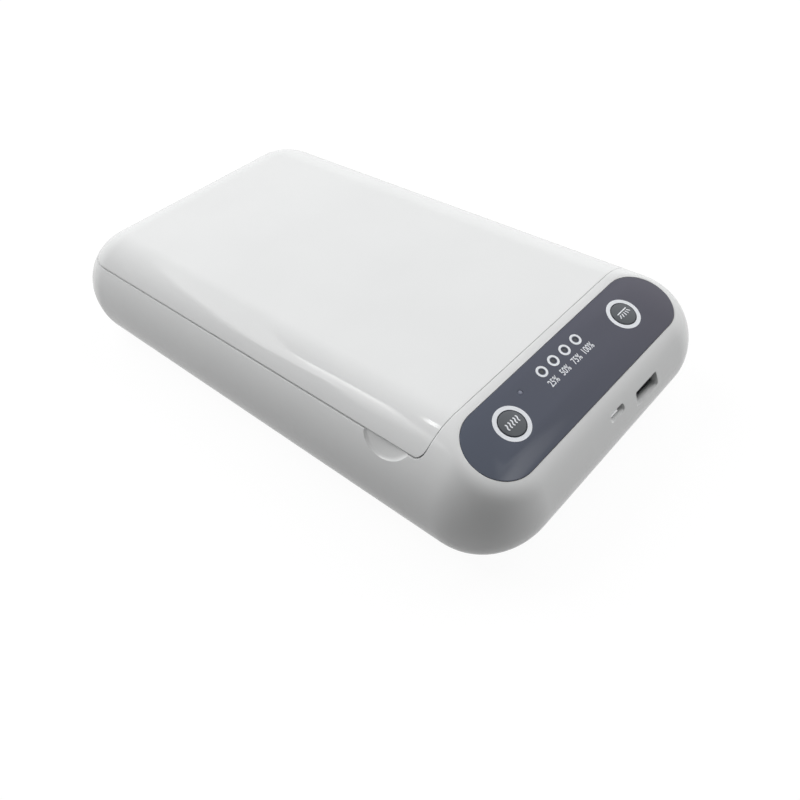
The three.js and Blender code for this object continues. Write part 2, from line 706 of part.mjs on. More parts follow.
function lens(name, x) {
  const shoulder = -PANEL_THICKNESS - GAP;
  const profile = [
    [0, KEY_BOARD_TOP + 1], [1.3, KEY_BOARD_TOP + 1], [1.3, shoulder],
    [LENS_RADIUS, shoulder], [LENS_RADIUS, 0], [0, 0]];
  const made = mesh(name, solid(turned(profile, 10)), lensClear);
  made.position.set(x, LAMP_ROW, 0);
  return made;
}

// Board under the deck, with one small lamp chip under each lens.
function keyBoard() {
  const low = KEY_BOARD_TOP - KEY_BOARD_THICKNESS;
  let board = solid(plate(roundedShape(-38, 38, -7.5, 7, 1), low, KEY_BOARD_TOP, 1));
  for (const x of [...lensPlaces, STATUS_X]) {
    const top = KEY_BOARD_TOP + 0.6;
    const chip = block(x - 0.8, x + 0.8, LAMP_ROW - 0.4, LAMP_ROW + 0.4, top - 0.8, top);
    board = board.add(solid(chip));
  }
  const holes = [-BOARD_SCREW_X, BOARD_SCREW_X].map((x) => solid(rod(1.1, -9, 0, x, KEY_BOARD_SCREW_Y, 8)));
  return mesh('key_board', cut(board, ...holes), boardGreen);
}

function keySwitch(name, x) {
  const z0 = KEY_BOARD_TOP + GAP;
  const base = solid(block(-2.6, 2.6, -2.6, 2.6, z0, KEY_BOARD_TOP + SWITCH_HEIGHT));
  const plunger = solid(rod(1.2, z0 + 0.5, KEY_BOARD_TOP + SWITCH_HEIGHT + 0.35, 0, 0, 16));
  const made = mesh(name, base.add(plunger), blackPlastic);
  made.position.x = x;
  return made;
}

function deckGroup() {
  const group = new THREE.Group();
  group.applyMatrix4(deckPlace);
  group.add(controlPanel(), key('aroma_button', -KEY_X), key('uv_button', KEY_X), keyBoard());
  group.add(keySwitch('aroma_switch', -KEY_X), keySwitch('uv_switch', KEY_X));
  lensPlaces.forEach((x, i) => group.add(lens(`gauge_lens_${i + 1}`, x)));
  group.add(lens('status_lens', STATUS_X));
  [-1, 1].forEach((side) => {
    const made = screw(`key_board_screw_${side < 0 ? 'left' : 'right'}`, { ...boardScrew, length: 3.2 });
    made.position.set(side * BOARD_SCREW_X, KEY_BOARD_SCREW_Y, KEY_BOARD_TOP - KEY_BOARD_THICKNESS - GAP);
    group.add(made);
  });
  return group;
}

// Main board with the two sockets, and the lamp driver

const USB_MOUTH = -109.4;
const USB_DEPTH = 13;
const MICRO_SHELL = { x: MICRO_USB.x, z: MICRO_USB.z - 0.3 };
const MICRO_MOUTH = -109.6;
const MICRO_DEPTH = 5;
const BOARD_FRONT = -108.4;
const BOARD_REAR = -83.5;
const BOARD_HALF_WIDTH = 34;

function mainBoard() {
  const level = BOARD_TOP - BOARD_THICKNESS;
  const outline = roundedShape(-BOARD_HALF_WIDTH, BOARD_HALF_WIDTH, BOARD_FRONT, BOARD_REAR, 2);
  const board = solid(plate(outline, level, BOARD_TOP, 1));
  const holes = [solid(block(USB_A.x - 7, USB_A.x + 7, -FAR, USB_MOUTH + USB_DEPTH + 0.5, 0, FAR))];
  for (const x of [-BOARD_POST_X, BOARD_POST_X]) {
    holes.push(solid(rod(1.1, 0, FAR, x, BOARD_POST_Y, 8)));
  }
  return mesh('main_board', cut(board, ...holes), boardGreen);
}

function boardScrews() {
  return [-1, 1].map((side) => {
    const made = screw(`board_screw_${side < 0 ? 'left' : 'right'}`, boardScrew);
    made.rotation.x = Math.PI;
    made.position.set(side * BOARD_POST_X, BOARD_POST_Y, BOARD_TOP + GAP);
    return made;
  });
}

// Sleeve of sheet metal round a socket, open at the mouth, along Y.
function socketSleeve(name, { x, z }, width, height, radius, wall, mouth, depth) {
  const corner = (shrink) => Math.max(radius - shrink, 0.1);
  const section = (y, shrink) => ring(width / 2 - shrink, height / 2 - shrink, corner(shrink), 0, 4)
    .map((p) => new THREE.Vector3(x + p.x, y, z + p.y));
  const outside = solid(loft([section(mouth + depth, 0), section(mouth, 0)]));
  const inside = solid(loft([section(mouth + depth + 1, wall), section(mouth - 1, wall)]));
  return mesh(name, cut(outside, inside), steel);
}

const USB_SHELL_WIDTH = 12.8;
const USB_SHELL_HEIGHT = 5.7;
const USB_WALL = 0.35;
const MICRO_SHELL_WIDTH = 7.3;
const MICRO_SHELL_HEIGHT = 2.9;
const MICRO_WALL = 0.3;

function usbInsert() {
  const { x, z } = USB_A;
  const halfWidth = USB_SHELL_WIDTH / 2 - USB_WALL - GAP;
  const halfHeight = USB_SHELL_HEIGHT / 2 - USB_WALL - GAP;
  const rear = USB_MOUTH + USB_DEPTH;
  const plug = solid(block(
    x - halfWidth, x + halfWidth, rear - 4, rear - 0.1, z - halfHeight, z + halfHeight));
  const tongue = solid(block(x - 5.5, x + 5.5, USB_MOUTH + 4.6, rear - 3, z + 0.2, z + 2));
  return mesh('usb_a_insert', plug.add(tongue), blackPlastic);
}

function microInsert() {
  const { x, z } = MICRO_SHELL;
  const rear = MICRO_MOUTH + MICRO_DEPTH;
  const halfHeight = MICRO_SHELL_HEIGHT / 2 - MICRO_WALL - GAP;
  const plug = solid(block(x - 2.8, x + 2.8, rear - 1.4, rear - 0.1, z - halfHeight, z + halfHeight));
  const tongue = solid(block(x - 1.8, x + 1.8, MICRO_MOUTH + 0.6, rear - 1, z + 0.1, z + 0.7));
  return mesh('micro_usb_insert', plug.add(tongue), blackPlastic);
}

// Hall sensor that tells the board whether the lid is shut.
function lidSensor() {
  const outline = new THREE.Shape();
  outline.moveTo(-2, 0);
  outline.lineTo(2, 0);
  outline.absarc(0, 0, 2, 0, Math.PI);
  const form = plate(outline, BOARD_TOP + GAP, BOARD_TOP + 4.3, 3);
  form.translate(8, BOARD_REAR + 1, 0);
  return mesh('lid_sensor', solid(form), blackPlastic);
}

function lampDriver() {
  const z0 = DRIVER_LEVEL + GAP;
  const z1 = z0 + 1.2;
  const shape = roundedShape(-28, 28, DRIVER_Y - 18, DRIVER_Y + 18, 2);
  const coil = solid(block(-18, -2, DRIVER_Y - 7, DRIVER_Y + 7, z1 + GAP, WELL_FLOOR - TRAY_WALL - GAP));
  const can = new THREE.CylinderGeometry(1.6, 1.6, 11, 12);
  can.translate(14, DRIVER_Y, z1 + 1.6 + GAP);
  return [
    mesh('driver_board', solid(plate(shape, z0, z1, 1)), boardGreen),
    mesh('driver_transformer', coil, ferrite),
    mesh('driver_capacitor', solid(can), blackPlastic),
  ];
}

const MAGNET_X = 40;
const MAGNET_Y = -76;
const LID_MAGNET_SHIFT = 1.8;     // the lid's magnets sit a little further back
const MAGNET_RADIUS = 2.5;
const MAGNET_HEIGHT = 2;

function magnet(name, x, z0) {
  return mesh(name, solid(rod(MAGNET_RADIUS, z0, z0 + MAGNET_HEIGHT, x, MAGNET_Y)), steel);
}

function hingePin(name, side) {
  const reach = LID_KNUCKLE / 2 + KNUCKLE_PLAY + CASE_KNUCKLE - 1.2;
  const centre = side * HINGE_X;
  return mesh(name, solid(crossRod(PIN_RADIUS, centre - reach, centre + reach, HINGE_Y, HINGE_Z, 12)), steel);
}

// Lid

const LINER_LEVEL = 32.6;
const LINER_THICKNESS = 1.2;
const TROUGH_TOP = 36.3;
const LIP_DEPTH = 2;
const LID_SCREWS = [[-38, -62], [38, -62], [-38, 80], [38, 80]];
const lidScrew = { headRadius: 2.2, headHeight: 1.2, shankRadius: 0.9, length: 3.3 };

// The lid's knuckle: a barrel under the seam and an arm that rises into the lid's rear wall.
function lidKnuckle(side) {
  const x0 = side * HINGE_X - LID_KNUCKLE / 2;
  const x1 = x0 + LID_KNUCKLE;
  const arm = new THREE.Shape();
  arm.moveTo(HINGE_Y - 3.9, PARTING + 1.8);
  arm.lineTo(HINGE_Y - 3.9, PARTING);
  arm.lineTo(HINGE_Y - BARREL_RADIUS, HINGE_Z);
  arm.lineTo(HINGE_Y + BARREL_RADIUS * 0.7, HINGE_Z + BARREL_RADIUS * 0.7);
  arm.lineTo(HINGE_Y - 1, PARTING + SEAM);
  arm.lineTo(HINGE_Y - 2.9, PARTING + 1.8);
  return solid(crossRod(BARREL_RADIUS, x0, x1, HINGE_Y, HINGE_Z)).add(solid(barAcross(arm, x0, x1)));
}

function lidShell() {
  const space = lidSpace(SEAM);
  let shell = cut(body(), aboveDeck()).intersect(space);
  const behind = solid(block(-FAR, FAR, LID_FRONT + SEAM + LID_WALL, FAR, 0, FAR));
  const hollow = body(LID_WALL, 6, 2).intersect(behind);
  shell = shell.subtract(hollow);
  for (const [x, y] of LID_SCREWS) {
    shell = shell.add(solid(rod(2.4, LINER_LEVEL + LINER_THICKNESS + GAP, TOP - 1, x, y, 12)));
  }
  for (const side of [-1, 1]) {
    shell = shell.add(lidKnuckle(side));
  }
  const holes = LID_SCREWS.map(([x, y]) => solid(rod(1.2, 0, TOP - 1.5, x, y, 8)));
  for (const side of [-1, 1]) {
    const centre = side * HINGE_X;
    holes.push(solid(crossRod(PIN_HOLE_RADIUS, centre - 9, centre + 9, HINGE_Y, HINGE_Z, 10)));
  }
  return mesh('lid_shell', cut(shell, ...holes), whiteGloss);
}

// Inner plate of the lid, with a trough over the lamp and a lip that drops into the well's mouth.
function lidLiner() {
  const z0 = LINER_LEVEL;
  const z1 = z0 + LINER_THICKNESS;
  const outline = roundedShape(-49.6, 49.6, LID_FRONT + SEAM + LID_WALL + GAP, 99.6, 3, 10);
  const troughShape = (grow) => roundedShape(
    -15 - grow, 15 + grow, LAMP_FRONT - 6 - grow, LAMP_BEND + 12 + grow, 3);
  let liner = join(
    solid(plate(outline, z0, z1)),
    solid(plate(troughShape(1), z0, TROUGH_TOP)),
    solid(plate(wellShape(-0.6), PARTING - LIP_DEPTH, z0 + 0.3)));
  liner = cut(liner,
    solid(plate(wellShape(-1.8), 0, z0)),
    solid(plate(troughShape(0), 0, TROUGH_TOP - 1)));
  for (const x of [-MAGNET_X, MAGNET_X]) {
    liner = liner.add(solid(rod(3.7, z1 - 0.3, z1 + 1.4, x, MAGNET_Y + LID_MAGNET_SHIFT, 12)));
  }
  const holes = LID_SCREWS.map(([x, y]) => solid(rod(1.2, 0, FAR, x, y, 8)));
  for (const x of [-MAGNET_X, MAGNET_X]) {
    holes.push(solid(rod(MAGNET_RADIUS + GAP, z1, FAR, x, MAGNET_Y + LID_MAGNET_SHIFT, 12)));
  }
  return mesh('lid_liner', cut(liner, ...holes), whiteInner);
}

function lidMagnet(name, x) {
  const made = magnet(name, x, LINER_LEVEL + LINER_THICKNESS + GAP);
  made.position.y = LID_MAGNET_SHIFT;
  return made;
}

function lidGroup() {
  const group = new THREE.Group();
  group.add(lidShell(), lidLiner());
  group.add(mesh('upper_uv_lamp', lampTube(UPPER_LAMP_Z), quartz));
  const roof = TROUGH_TOP - 1 - GAP;
  group.add(mesh('upper_lamp_socket', lampSocket(UPPER_LAMP_Z, UPPER_LAMP_Z - 2.8, roof), blackPlastic));
  group.add(mesh('upper_lamp_clip', lampClip(UPPER_LAMP_Z, UPPER_LAMP_Z - 1.2, roof, -1), whiteInner));
  group.add(lidMagnet('lid_magnet_left', -MAGNET_X), lidMagnet('lid_magnet_right', MAGNET_X));
  LID_SCREWS.forEach(([x, y], i) => {
    const made = screw(`lid_screw_${cornerNames[i]}`, lidScrew);
    made.position.set(x, y, LINER_LEVEL - GAP);
    group.add(made);
  });
  return group;
}

// Assembly

const box = new THREE.Group();
box.add(upperCase(), bottomCover(), ...coverScrews());
corners.forEach(([sx, sy], i) => box.add(foot(`foot_${cornerNames[i]}`, sx * FOOT_X, sy * FOOT_Y)));
box.add(chamberTray(), phoneRest(), scentCup(), scentPad(), ...lowerLamp());
box.add(deckGroup());
box.add(mainBoard(), ...boardScrews(), lidSensor(), ...lampDriver());
box.add(socketSleeve(
  'usb_a_shell', USB_A, USB_SHELL_WIDTH, USB_SHELL_HEIGHT, 0.7, USB_WALL, USB_MOUTH, USB_DEPTH));
box.add(socketSleeve(
  'micro_usb_shell', MICRO_SHELL, MICRO_SHELL_WIDTH, MICRO_SHELL_HEIGHT, 1, MICRO_WALL,
  MICRO_MOUTH, MICRO_DEPTH));
box.add(usbInsert(), microInsert());
box.add(magnet('case_magnet_left', -MAGNET_X, PARTING - RIM - MAGNET_HEIGHT - GAP));
box.add(magnet('case_magnet_right', MAGNET_X, PARTING - RIM - MAGNET_HEIGHT - GAP));
box.add(hingePin('hinge_pin_left', -1), hingePin('hinge_pin_right', 1));
box.add(lidGroup());

export default box;
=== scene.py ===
"""Looks of a UV sanitizer box for phones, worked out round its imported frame.

Every form below is a formula in millimetres in the frame's axes: +Y runs from the key panel to the hinges, +Z is up.
A finished mesh is brought to metres when it is taken into the scene as a piece.
"""

import math

import bpy
import numpy as np
from mathutils import Matrix, Vector


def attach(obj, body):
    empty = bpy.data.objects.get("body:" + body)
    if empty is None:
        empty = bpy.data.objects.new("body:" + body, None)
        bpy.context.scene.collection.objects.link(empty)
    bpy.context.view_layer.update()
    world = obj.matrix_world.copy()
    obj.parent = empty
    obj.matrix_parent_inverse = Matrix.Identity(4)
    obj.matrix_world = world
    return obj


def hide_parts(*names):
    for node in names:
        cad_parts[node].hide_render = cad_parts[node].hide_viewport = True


bl_info = {
    "name": "Phone sanitizer box",
    "version": (1, 0, 0),
    "blender": (4, 5, 0),
    "location": "View3D > Sidebar > Sanitizer box",
    "description": "Builds the shells, key panel, phone well, lamps and stage of a UV sanitizer box for phones",
    "category": "Add Mesh",
}

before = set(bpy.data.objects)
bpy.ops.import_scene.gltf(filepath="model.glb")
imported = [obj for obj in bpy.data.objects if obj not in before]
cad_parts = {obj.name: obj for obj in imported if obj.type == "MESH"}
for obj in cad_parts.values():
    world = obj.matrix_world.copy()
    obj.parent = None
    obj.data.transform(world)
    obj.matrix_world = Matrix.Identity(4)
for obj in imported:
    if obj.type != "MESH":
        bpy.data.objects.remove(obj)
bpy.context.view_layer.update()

# Outside the box, for cutters that run through it
FAR = 200.0
CORNER_SIGNS = ((-1, -1), (1, -1), (-1, 1), (1, 1))
CORNER_NAMES = ("front_left", "front_right", "rear_left", "rear_right")

# Body: quarter-ellipse rounds above and below its widest level
HALF_WIDTH = 63.0
HALF_LENGTH = 113.0
UNDERSIDE = 1.2
WIDEST = 16.0
TOP = 38.8
TOP_ROUND = 23.0
SIDE_TUCK = 8.0
END_TUCK = 10.8
PLAN_RADIUS = 24.3
BOTTOM_RADIUS = 10.8
CASE_WALL = 2.4
CASE_FLOOR = 5.2
FIT = 0.3

# Lid and seam
PARTING = 31.9
LID_FRONT = -80.9
LID_CORNER = 3.0
SEAM = 0.35
FRONT_SEAM = 0.16
SIDE_SEAM = 0.42
LID_WALL = 2.2
RIM = 2.2

# Key deck: its slope, the middle of its key row, and the width of its soft crease from one Y to another
DECK_TILT = math.radians(19.7)
KEY_ROW_Y = -94.0
KEY_ROW_Z = 34.6
DECK_WALL = 3.4
DECK_BLEND = (3.4, 1.0)
DECK_BLEND_Y = (-106.0, -86.0)
DECK_START = (-72.0, -88.0)
DECK_PLACE = Matrix.Translation((0, KEY_ROW_Y, KEY_ROW_Z)) @ Matrix.Rotation(DECK_TILT, 4, "X")

# Panel, keys and lenses, in the deck's own plane, whose middle is the middle of the key row. A flange and a stem are
# given by radius and foot, and a room is the radius of the hole through the deck.
PANEL_LEFT = -50.1
PANEL_RIGHT = 50.95
PANEL_BACK = 10.5
PANEL_FRONT = -13.4
PANEL_BACK_RADIUS = 12.2
PANEL_FRONT_RADIUS = 11.4
PANEL_GAP = 0.12
PANEL_THICKNESS = 1.2
PANEL_EDGE = 0.18
SHOULDER = -PANEL_THICKNESS - FIT
KEY_X = 30.8
KEYS = ((-KEY_X, 0.0), (KEY_X, 0.0))
KEY_RADIUS = 4.3
KEY_TOP = 0.55
KEY_CROWN = 0.35
KEY_RIM = 0.22
KEY_FLANGE = (5.2, SHOULDER - 0.7)
KEY_STEM = (1.5, -2.7)
KEY_HOLE = 4.55
KEY_ROOM = 5.7
LAMP_ROW = 4.97
LENS_X = (-9.21, -3.07, 3.07, 9.21)
LENSES = [(x, LAMP_ROW) for x in (*LENS_X, -20.3)]
LENS_RADIUS = 0.75
LENS_FLANGE = 1.3
LENS_HOLE = 0.8
LENS_ROOM = 1.7
NUMBER_Y = 0.2
NUMBER_SPREAD = 0.08
NUMBER_SQUEEZE = 0.74
DIGIT_SHARE = 0.69
INK_LEVEL = 0.004
INK_THICKNESS = 0.03
KEY_BOARD_TOP = -5.3
KEY_BOARD_SCREWS = ((-19.0, -3.5), (19.0, -3.5))
KEY_BOARD_POST = 2.2
POST_BORE = 1.05

# Sockets: middle, width, height and corner radius of each hole in the front wall. A flare is depths and growths.
LARGE_HOLE = (16.7, 21.75, 12.5, 4.8, 0.7)
SMALL_HOLE = (-0.3, 24.4, 7.2, 2.1, 0.9)
SOCKET_FLARE = ((1.1, 0.0), (0.5, 0.05), (0.0, 0.2), (-0.5, 0.5), (-1.5, 1.3))
HOLE_END = 12.0 - HALF_LENGTH
# Sleeves: middle, width and height, then corner radius, wall, mouth and depth
LARGE_SLEEVE = (16.7, 21.55, 12.8, 5.7)
SMALL_SLEEVE = (-0.3, 23.95, 7.3, 2.9)
LARGE_MOUTH = -110.4
SMALL_MOUTH = -109.6
LARGE_SHEET = (0.7, 0.35, LARGE_MOUTH, 14.0)
SMALL_SHEET = (1.0, 0.3, SMALL_MOUTH, 5.0)
# Inserts: half width, front, rear, lowest and highest level over the middle, for the block and then for its tongue
LARGE_INSERT = ((5.75, -100.4, -96.5, -2.2, 2.2), (5.5, -104.8, -99.4, 0.2, 2.0))
SMALL_INSERT = ((2.8, -106.0, -104.7, -0.85, 0.85), (1.8, -109.0, -105.6, 0.1, 0.7))
CONTACT_X = (-3.5, -1.0, 1.0, 3.5)
# Lip behind the small hole: its outline in (y, z)
BRIGHT_LIP = ((-110.62, 23.42), (-109.85, 23.4), (-109.85, 22.75), (-109.2, 22.75), (-109.2, 23.85), (-110.16, 23.85))

# Thumb scoops: each dish is turned about an axis this far above the level at which it stands square to the side
SCOOP_Y = -67.0
SCOOP_LEVEL = PARTING - 2
SCOOP_RISE = 8.1
SCOOP_RADIUS = 10.25
SCOOP_DEPTH = 1.3
SCOOP_EDGE = 0.55

# Phone well, scent cup and the tray's flange
WELL_MIDDLE = 13.5
WELL_HALF_WIDTH = 48.0
WELL_HALF_LENGTH = 83.0
WELL_RADIUS = 14.0
WELL_FLOOR = 12.0
LEDGE = 17.7
LEDGE_WIDTH = 6.0
TRAY_WALL = 1.6
FLANGE = 4.0
FLANGE_THICKNESS = 1.2
REST_LEVEL = LEDGE + FIT
REST_TOP = REST_LEVEL + 2.0
REST_PLAY = 0.6
REST_BAR = 3.0
REST_ROWS = 9
CUP_PLACE = (25.0, -52.0)
CUP_RADIUS = 7.0

# Hinges: the axis in (y, z), and outlines from it of the lid's knuckle arm and of the room that the arm needs
HINGE = np.array([107.0, 29.5])
HINGE_X = 27.0
BARREL_RADIUS = 2.4
PIN_HOLE_RADIUS = 1.25
LID_KNUCKLE = 10.0
CASE_KNUCKLE = 5.0
KNUCKLE_PLAY = 0.4
KNUCKLE_ARM = HINGE + [(-2.4, 0.0), (1.68, 1.68), (-1.0, 2.75), (-2.9, 4.2), (-3.9, 4.2), (-3.9, 2.4)]
KNUCKLE_ROOM = HINGE + [(-2.8, 0.0), (2.0, -0.4), (6.0, -0.4), (6.0, 3.4), (-4.9, 3.4)]
# The strip of wall behind a hinge: inset from the body's face, front and foot
BACKING = (1.2, 102.4, 24.5)

# Underside: screw bosses, feet, and the posts of the two boards
COVER_HALF_WIDTH = 52.2
COVER_HALF_LENGTH = 99.2
COVER_RADIUS = 9.0
COVER_TOP = 3.4
BOSSES = [(sx * 45.0, sy * 92.0) for sx, sy in CORNER_SIGNS]
BOSS_RADIUS = 3.2
BOSS_BORE = 1.5
TUBE_RADIUS = 3.9
SCREW_HEAD_SEAT = 3.6
# Screws: radius and height of the head, radius and length of the shank
COVER_SCREW = (2.8, 1.5, 1.15, 9.0)
LINING_SCREW = (2.2, 1.2, 0.9, 3.3)
FEET = [(sx * 36.0, sy * 80.0) for sx, sy in CORNER_SIGNS]
FOOT_RADIUS = 6.0
FOOT_ROUND = 0.6
TALL_POST_RADIUS = 2.6
TALL_POST_BORE = 1.1
TALL_POST_TOP = 20.2
TALL_POSTS = ((-28.0, -90.0), (28.0, -90.0))
LOW_POST_RADIUS = 2.4
LOW_POST_TOP = 5.0
LOW_POSTS = [(x, y) for x in (-24.0, 24.0) for y in (26.0, 54.0)]

# Lamps, lid lining and magnets
LAMP_RADIUS = 2.0
LAMP_PITCH = 14.0
LAMP_FRONT = -52.0
LAMP_BEND = 72.0
LAMP_LEGS = (-LAMP_PITCH / 2, LAMP_PITCH / 2)
LOWER_LAMP_Z = 15.0
UPPER_LAMP_Z = 32.2
CLIP_Y = LAMP_BEND - 14
CLIP_LIP = 1.2
CLIP_MOUTH = 1.6
# Half width, half length and corner radius of a holder, a clip and the lining's trough
HOLDER = (13.0, 5.0, 1.0)
CLIP = (11.0, 2.5, 0.6)
TROUGH = (15.0, 71.0, 3.0)
TROUGH_MIDDLE = 13.0
TROUGH_TOP = 36.3
LINER_LEVEL = 32.6
LINER_TOP = LINER_LEVEL + 1.2
LINER_HALF_WIDTH = 49.6
LINER_REAR = 99.6
LID_SCREWS = ((-38.0, -62.0), (38.0, -62.0), (-38.0, 80.0), (38.0, 80.0))
LID_POST = 2.4
LID_SCREW_HOLE = 1.2
CASE_MAGNETS = ((-40.0, -76.0), (40.0, -76.0))
LID_MAGNETS = ((-40.0, -74.2), (40.0, -74.2))
MAGNET_RADIUS = 2.5
POT_RADIUS = 3.7

# Camera of the photograph: place in metres, the picture's right, down and ahead directions, and shift
CAMERA_PLACE = (-0.1487, -0.1821, 0.1910)
CAMERA_AXES = ((0.65184, -0.75352, -0.08552), (-0.57104, -0.41351, -0.70917), (0.49901, 0.51110, -0.69983))
CAMERA_SHIFT = (-0.0369, -0.0015)
SENSOR = 36.0

# Fill lamps: direction from the object, distance, size in metres, power in watts
MIDDLE = Vector((0, 0, 0.02))
FILL_LAMPS = (
    ("window_rear", (0, 1, 0.8), 2.2, 1.8, 47.5),
    ("window_right", (1, 0, 0.8), 2.2, 1.8, 33.0),
    ("low_front", (0, -1, 0.15), 2.2, 0.8, 7.8),
    ("low_front_right", (0.8, -0.8, 0.2), 2.2, 0.8, 8.0),
    ("low_right", (1, -0.35, 0.2), 2.2, 0.8, 3.0),
    ("low_left", (-0.83, 0.58, 0.15), 1.05, 0.5, 2.0),
    ("low_rear_left", (-0.8, 0.8, 0.15), 2.2, 0.8, 3.2),
)
# Cards that only show in the gloss: middle of one edge, aim, first and last width, first and last length, in metres,
# strength. A card is a pile of sheets that all start at that edge, so the other edges fade. Seen from its aim a card
# lies to the right of the edge, or to the left where the widths are negative.
LID_SIDE = (-0.049, -0.03, 0.037)
GLINT_CARDS = (
    ("card_rear", (-0.73, 1.217, 1.354), LID_SIDE, (0.30, 1.05), (0.32, 0.36), 1.6),
    ("streak", (-0.33, 1.05, 1.43), LID_SIDE, (-0.06, -0.16), (0.24, 0.32), 3.2),
    ("streak_fade", (-0.33, 1.03, 1.44), LID_SIDE, (-0.16, -0.52), (0.28, 0.44), 1.9),
    ("spot", (-0.115, 0.80, 1.60), (-0.047, -0.078, 0.038), (0.16, 0.18), (0.025, 0.045), 7.0),
    ("panel_corner", (0.515, -0.865, 1.512), (-0.045, -0.107, 0.022), (-0.10, -0.30), (0.10, 0.40), 1.0),
)
CARD_SHEETS = 6
# A card that sends light evenly to all sides looks as bright as its power over this many times its area
LAMP_WATTS = 4.0

# Patterns of the finishes, in cells per metre
TONE_DRIFT = 25.0        # 40 mm
POLISH_DRIFT = 110.0     # 9 mm
SINK_WAVE = 36.0         # 28 mm
QUARTZ_BLOOM = 60.0      # 17 mm
TRACK_FIELDS = 260.0     # 3.8 mm, from track to track
FELT_TANGLE = 3500.0     # 0.3 mm, two fibres' spacing
PAPER_FIBRE = 900.0      # 1.1 mm, coarser than real fibres so that it shows
DRAWN_LINE = 0.00012     # spacing of the lines that rolling leaves, in metres
DRAWN_LENGTH = 0.002     # their length
RAMP_ENDS = (0.35, 0.65)


def linear(code):
    """Linear colour of an sRGB hex value: c / 12.92 below the knee, else ((c + 0.055) / 1.055) ** 2.4."""
    channels = np.array([int(code[i:i + 2], 16) for i in (0, 2, 4)]) / 255
    bright = ((channels + 0.055) / 1.055) ** 2.4
    return tuple(float(c) for c in np.where(channels <= 0.04045, channels / 12.92, bright))


# Settings

class ShellSettings(bpy.types.PropertyGroup):
    """Sizes and colour of the two white shells."""

    corner_steps: bpy.props.IntProperty(
        name="Corner steps", description="Facets in each corner of the shells, seen from above", default=28, min=6)
    edge_radius: bpy.props.FloatProperty(
        name="Edge radius", description="Rounding that the shading gives to the shells' cut edges",
        default=0.0003, unit="LENGTH", subtype="DISTANCE")
    colour: bpy.props.FloatVectorProperty(
        name="Shell colour", description="White of the moulded shells", default=linear("EBECEC"), subtype="COLOR")


class PanelSettings(bpy.types.PropertyGroup):
    """Sizes and colours of the key panel and what is printed on it."""

    ring_outer: bpy.props.FloatProperty(
        name="Key ring, outer radius", description="Outer radius of the ring printed round each key",
        default=0.006, unit="LENGTH", subtype="DISTANCE")
    ring_inner: bpy.props.FloatProperty(
        name="Key ring, inner radius", description="Inner radius of the ring printed round each key",
        default=0.00462, unit="LENGTH", subtype="DISTANCE")
    dot_outer: bpy.props.FloatProperty(
        name="Gauge ring, outer radius", description="Outer radius of the ring printed round each gauge lens",
        default=0.00203, unit="LENGTH", subtype="DISTANCE")
    dot_inner: bpy.props.FloatProperty(
        name="Gauge ring, inner radius", description="Inner radius of the ring printed round each gauge lens",
        default=0.00125, unit="LENGTH", subtype="DISTANCE")
    number_height: bpy.props.FloatProperty(
        name="Number height", description="Height of the gauge's numbers",
        default=0.00235, unit="LENGTH", subtype="DISTANCE")
    panel_colour: bpy.props.FloatVectorProperty(
        name="Panel colour", description="Blue-grey of the smoked panel", default=linear("4B5364"), subtype="COLOR")
    # Painted light: the panel's colour shifts to this tone at its right end, in place of the other light that the
    # panel catches there
    panel_painted_light_colour: bpy.props.FloatVectorProperty(
        name="Panel colour, right end", description="Smoke tone that the panel reaches at its right end",
        default=linear("504F5D"), subtype="COLOR")
    key_colour: bpy.props.FloatVectorProperty(
        name="Key colour", description="Grey of the two keys", default=linear("5B5F64"), subtype="COLOR")
    ink_colour: bpy.props.FloatVectorProperty(
        name="Ink colour", description="White of the printed rings and numbers",
        default=linear("F2F5FA"), subtype="COLOR")


class StageSettings(bpy.types.PropertyGroup):
    """Camera and light."""

    focal_length: bpy.props.FloatProperty(
        name="Focal length", description="Focal length on a 36 mm wide sensor", default=33.27, unit="CAMERA")
    sky: bpy.props.FloatProperty(
        name="Room light", description="Strength of the even light from all round", default=0.02, min=0)
    fill: bpy.props.FloatProperty(
        name="Fill lamps", description="Factor on the power of all the large soft lamps", default=1.0, min=0)
    glint: bpy.props.FloatProperty(
        name="Glint cards", description="Factor on the strength of the cards that show in the gloss",
        default=1.0, min=0)


# Forms worked out as arrays, in millimetres

def unit(vectors):
    """The same directions at length 1."""
    return vectors / np.maximum(np.linalg.norm(vectors, axis=-1, keepdims=True), 1e-9)


def quarter(start, end, steps=5):
    """Quarter ellipse that leaves start along the second axis: start + (end - start) * (1 - cos t, sin t)."""
    t = np.linspace(0, np.pi / 2, steps + 1)
    return start + np.subtract(end, start) * np.column_stack([1 - np.cos(t), np.sin(t)])


def circle(radius, sides=48):
    """Regular outline: radius * (cos t, sin t)."""
    t = np.arange(sides) * 2 * np.pi / sides
    return radius * np.column_stack([np.cos(t), np.sin(t)])


def rounded_outline(x0, x1, y0, y1, front, rear=None, steps=12):
    """Rectangle with quarter-circle corners, anticlockwise: a corner is its centre + radius * (cos t, sin t)."""
    rear = front if rear is None else rear
    t = np.linspace(0, np.pi / 2, steps + 1)
    centres = np.array([
        (x1 - rear, y1 - rear), (x0 + rear, y1 - rear), (x0 + front, y0 + front), (x1 - front, y0 + front)])
    radii = np.array([rear, rear, front, front])
    angles = t[None] + np.arange(4)[:, None] * np.pi / 2
    points = centres[:, None] + radii[:, None, None] * np.stack([np.cos(angles), np.sin(angles)], -1)
    return points.reshape(-1, 2)


def centred(half_x, half_y, radius, grow=0.0, y=0.0, steps=12):
    """Rounded rectangle round (0, y), grown by one width on all sides."""
    half_x, half_y = half_x + grow, half_y + grow
    return rounded_outline(-half_x, half_x, y - half_y, y + half_y, radius + grow, steps=steps)


def raised(outline, z):
    """The outline as one ring in the level z."""
    return np.column_stack([outline, np.full(len(outline), float(z))])


def stacked(outlines, levels):
    """Rings from outlines of equal size, one for each level."""
    return np.stack([raised(outline, z) for outline, z in zip(outlines, levels)])


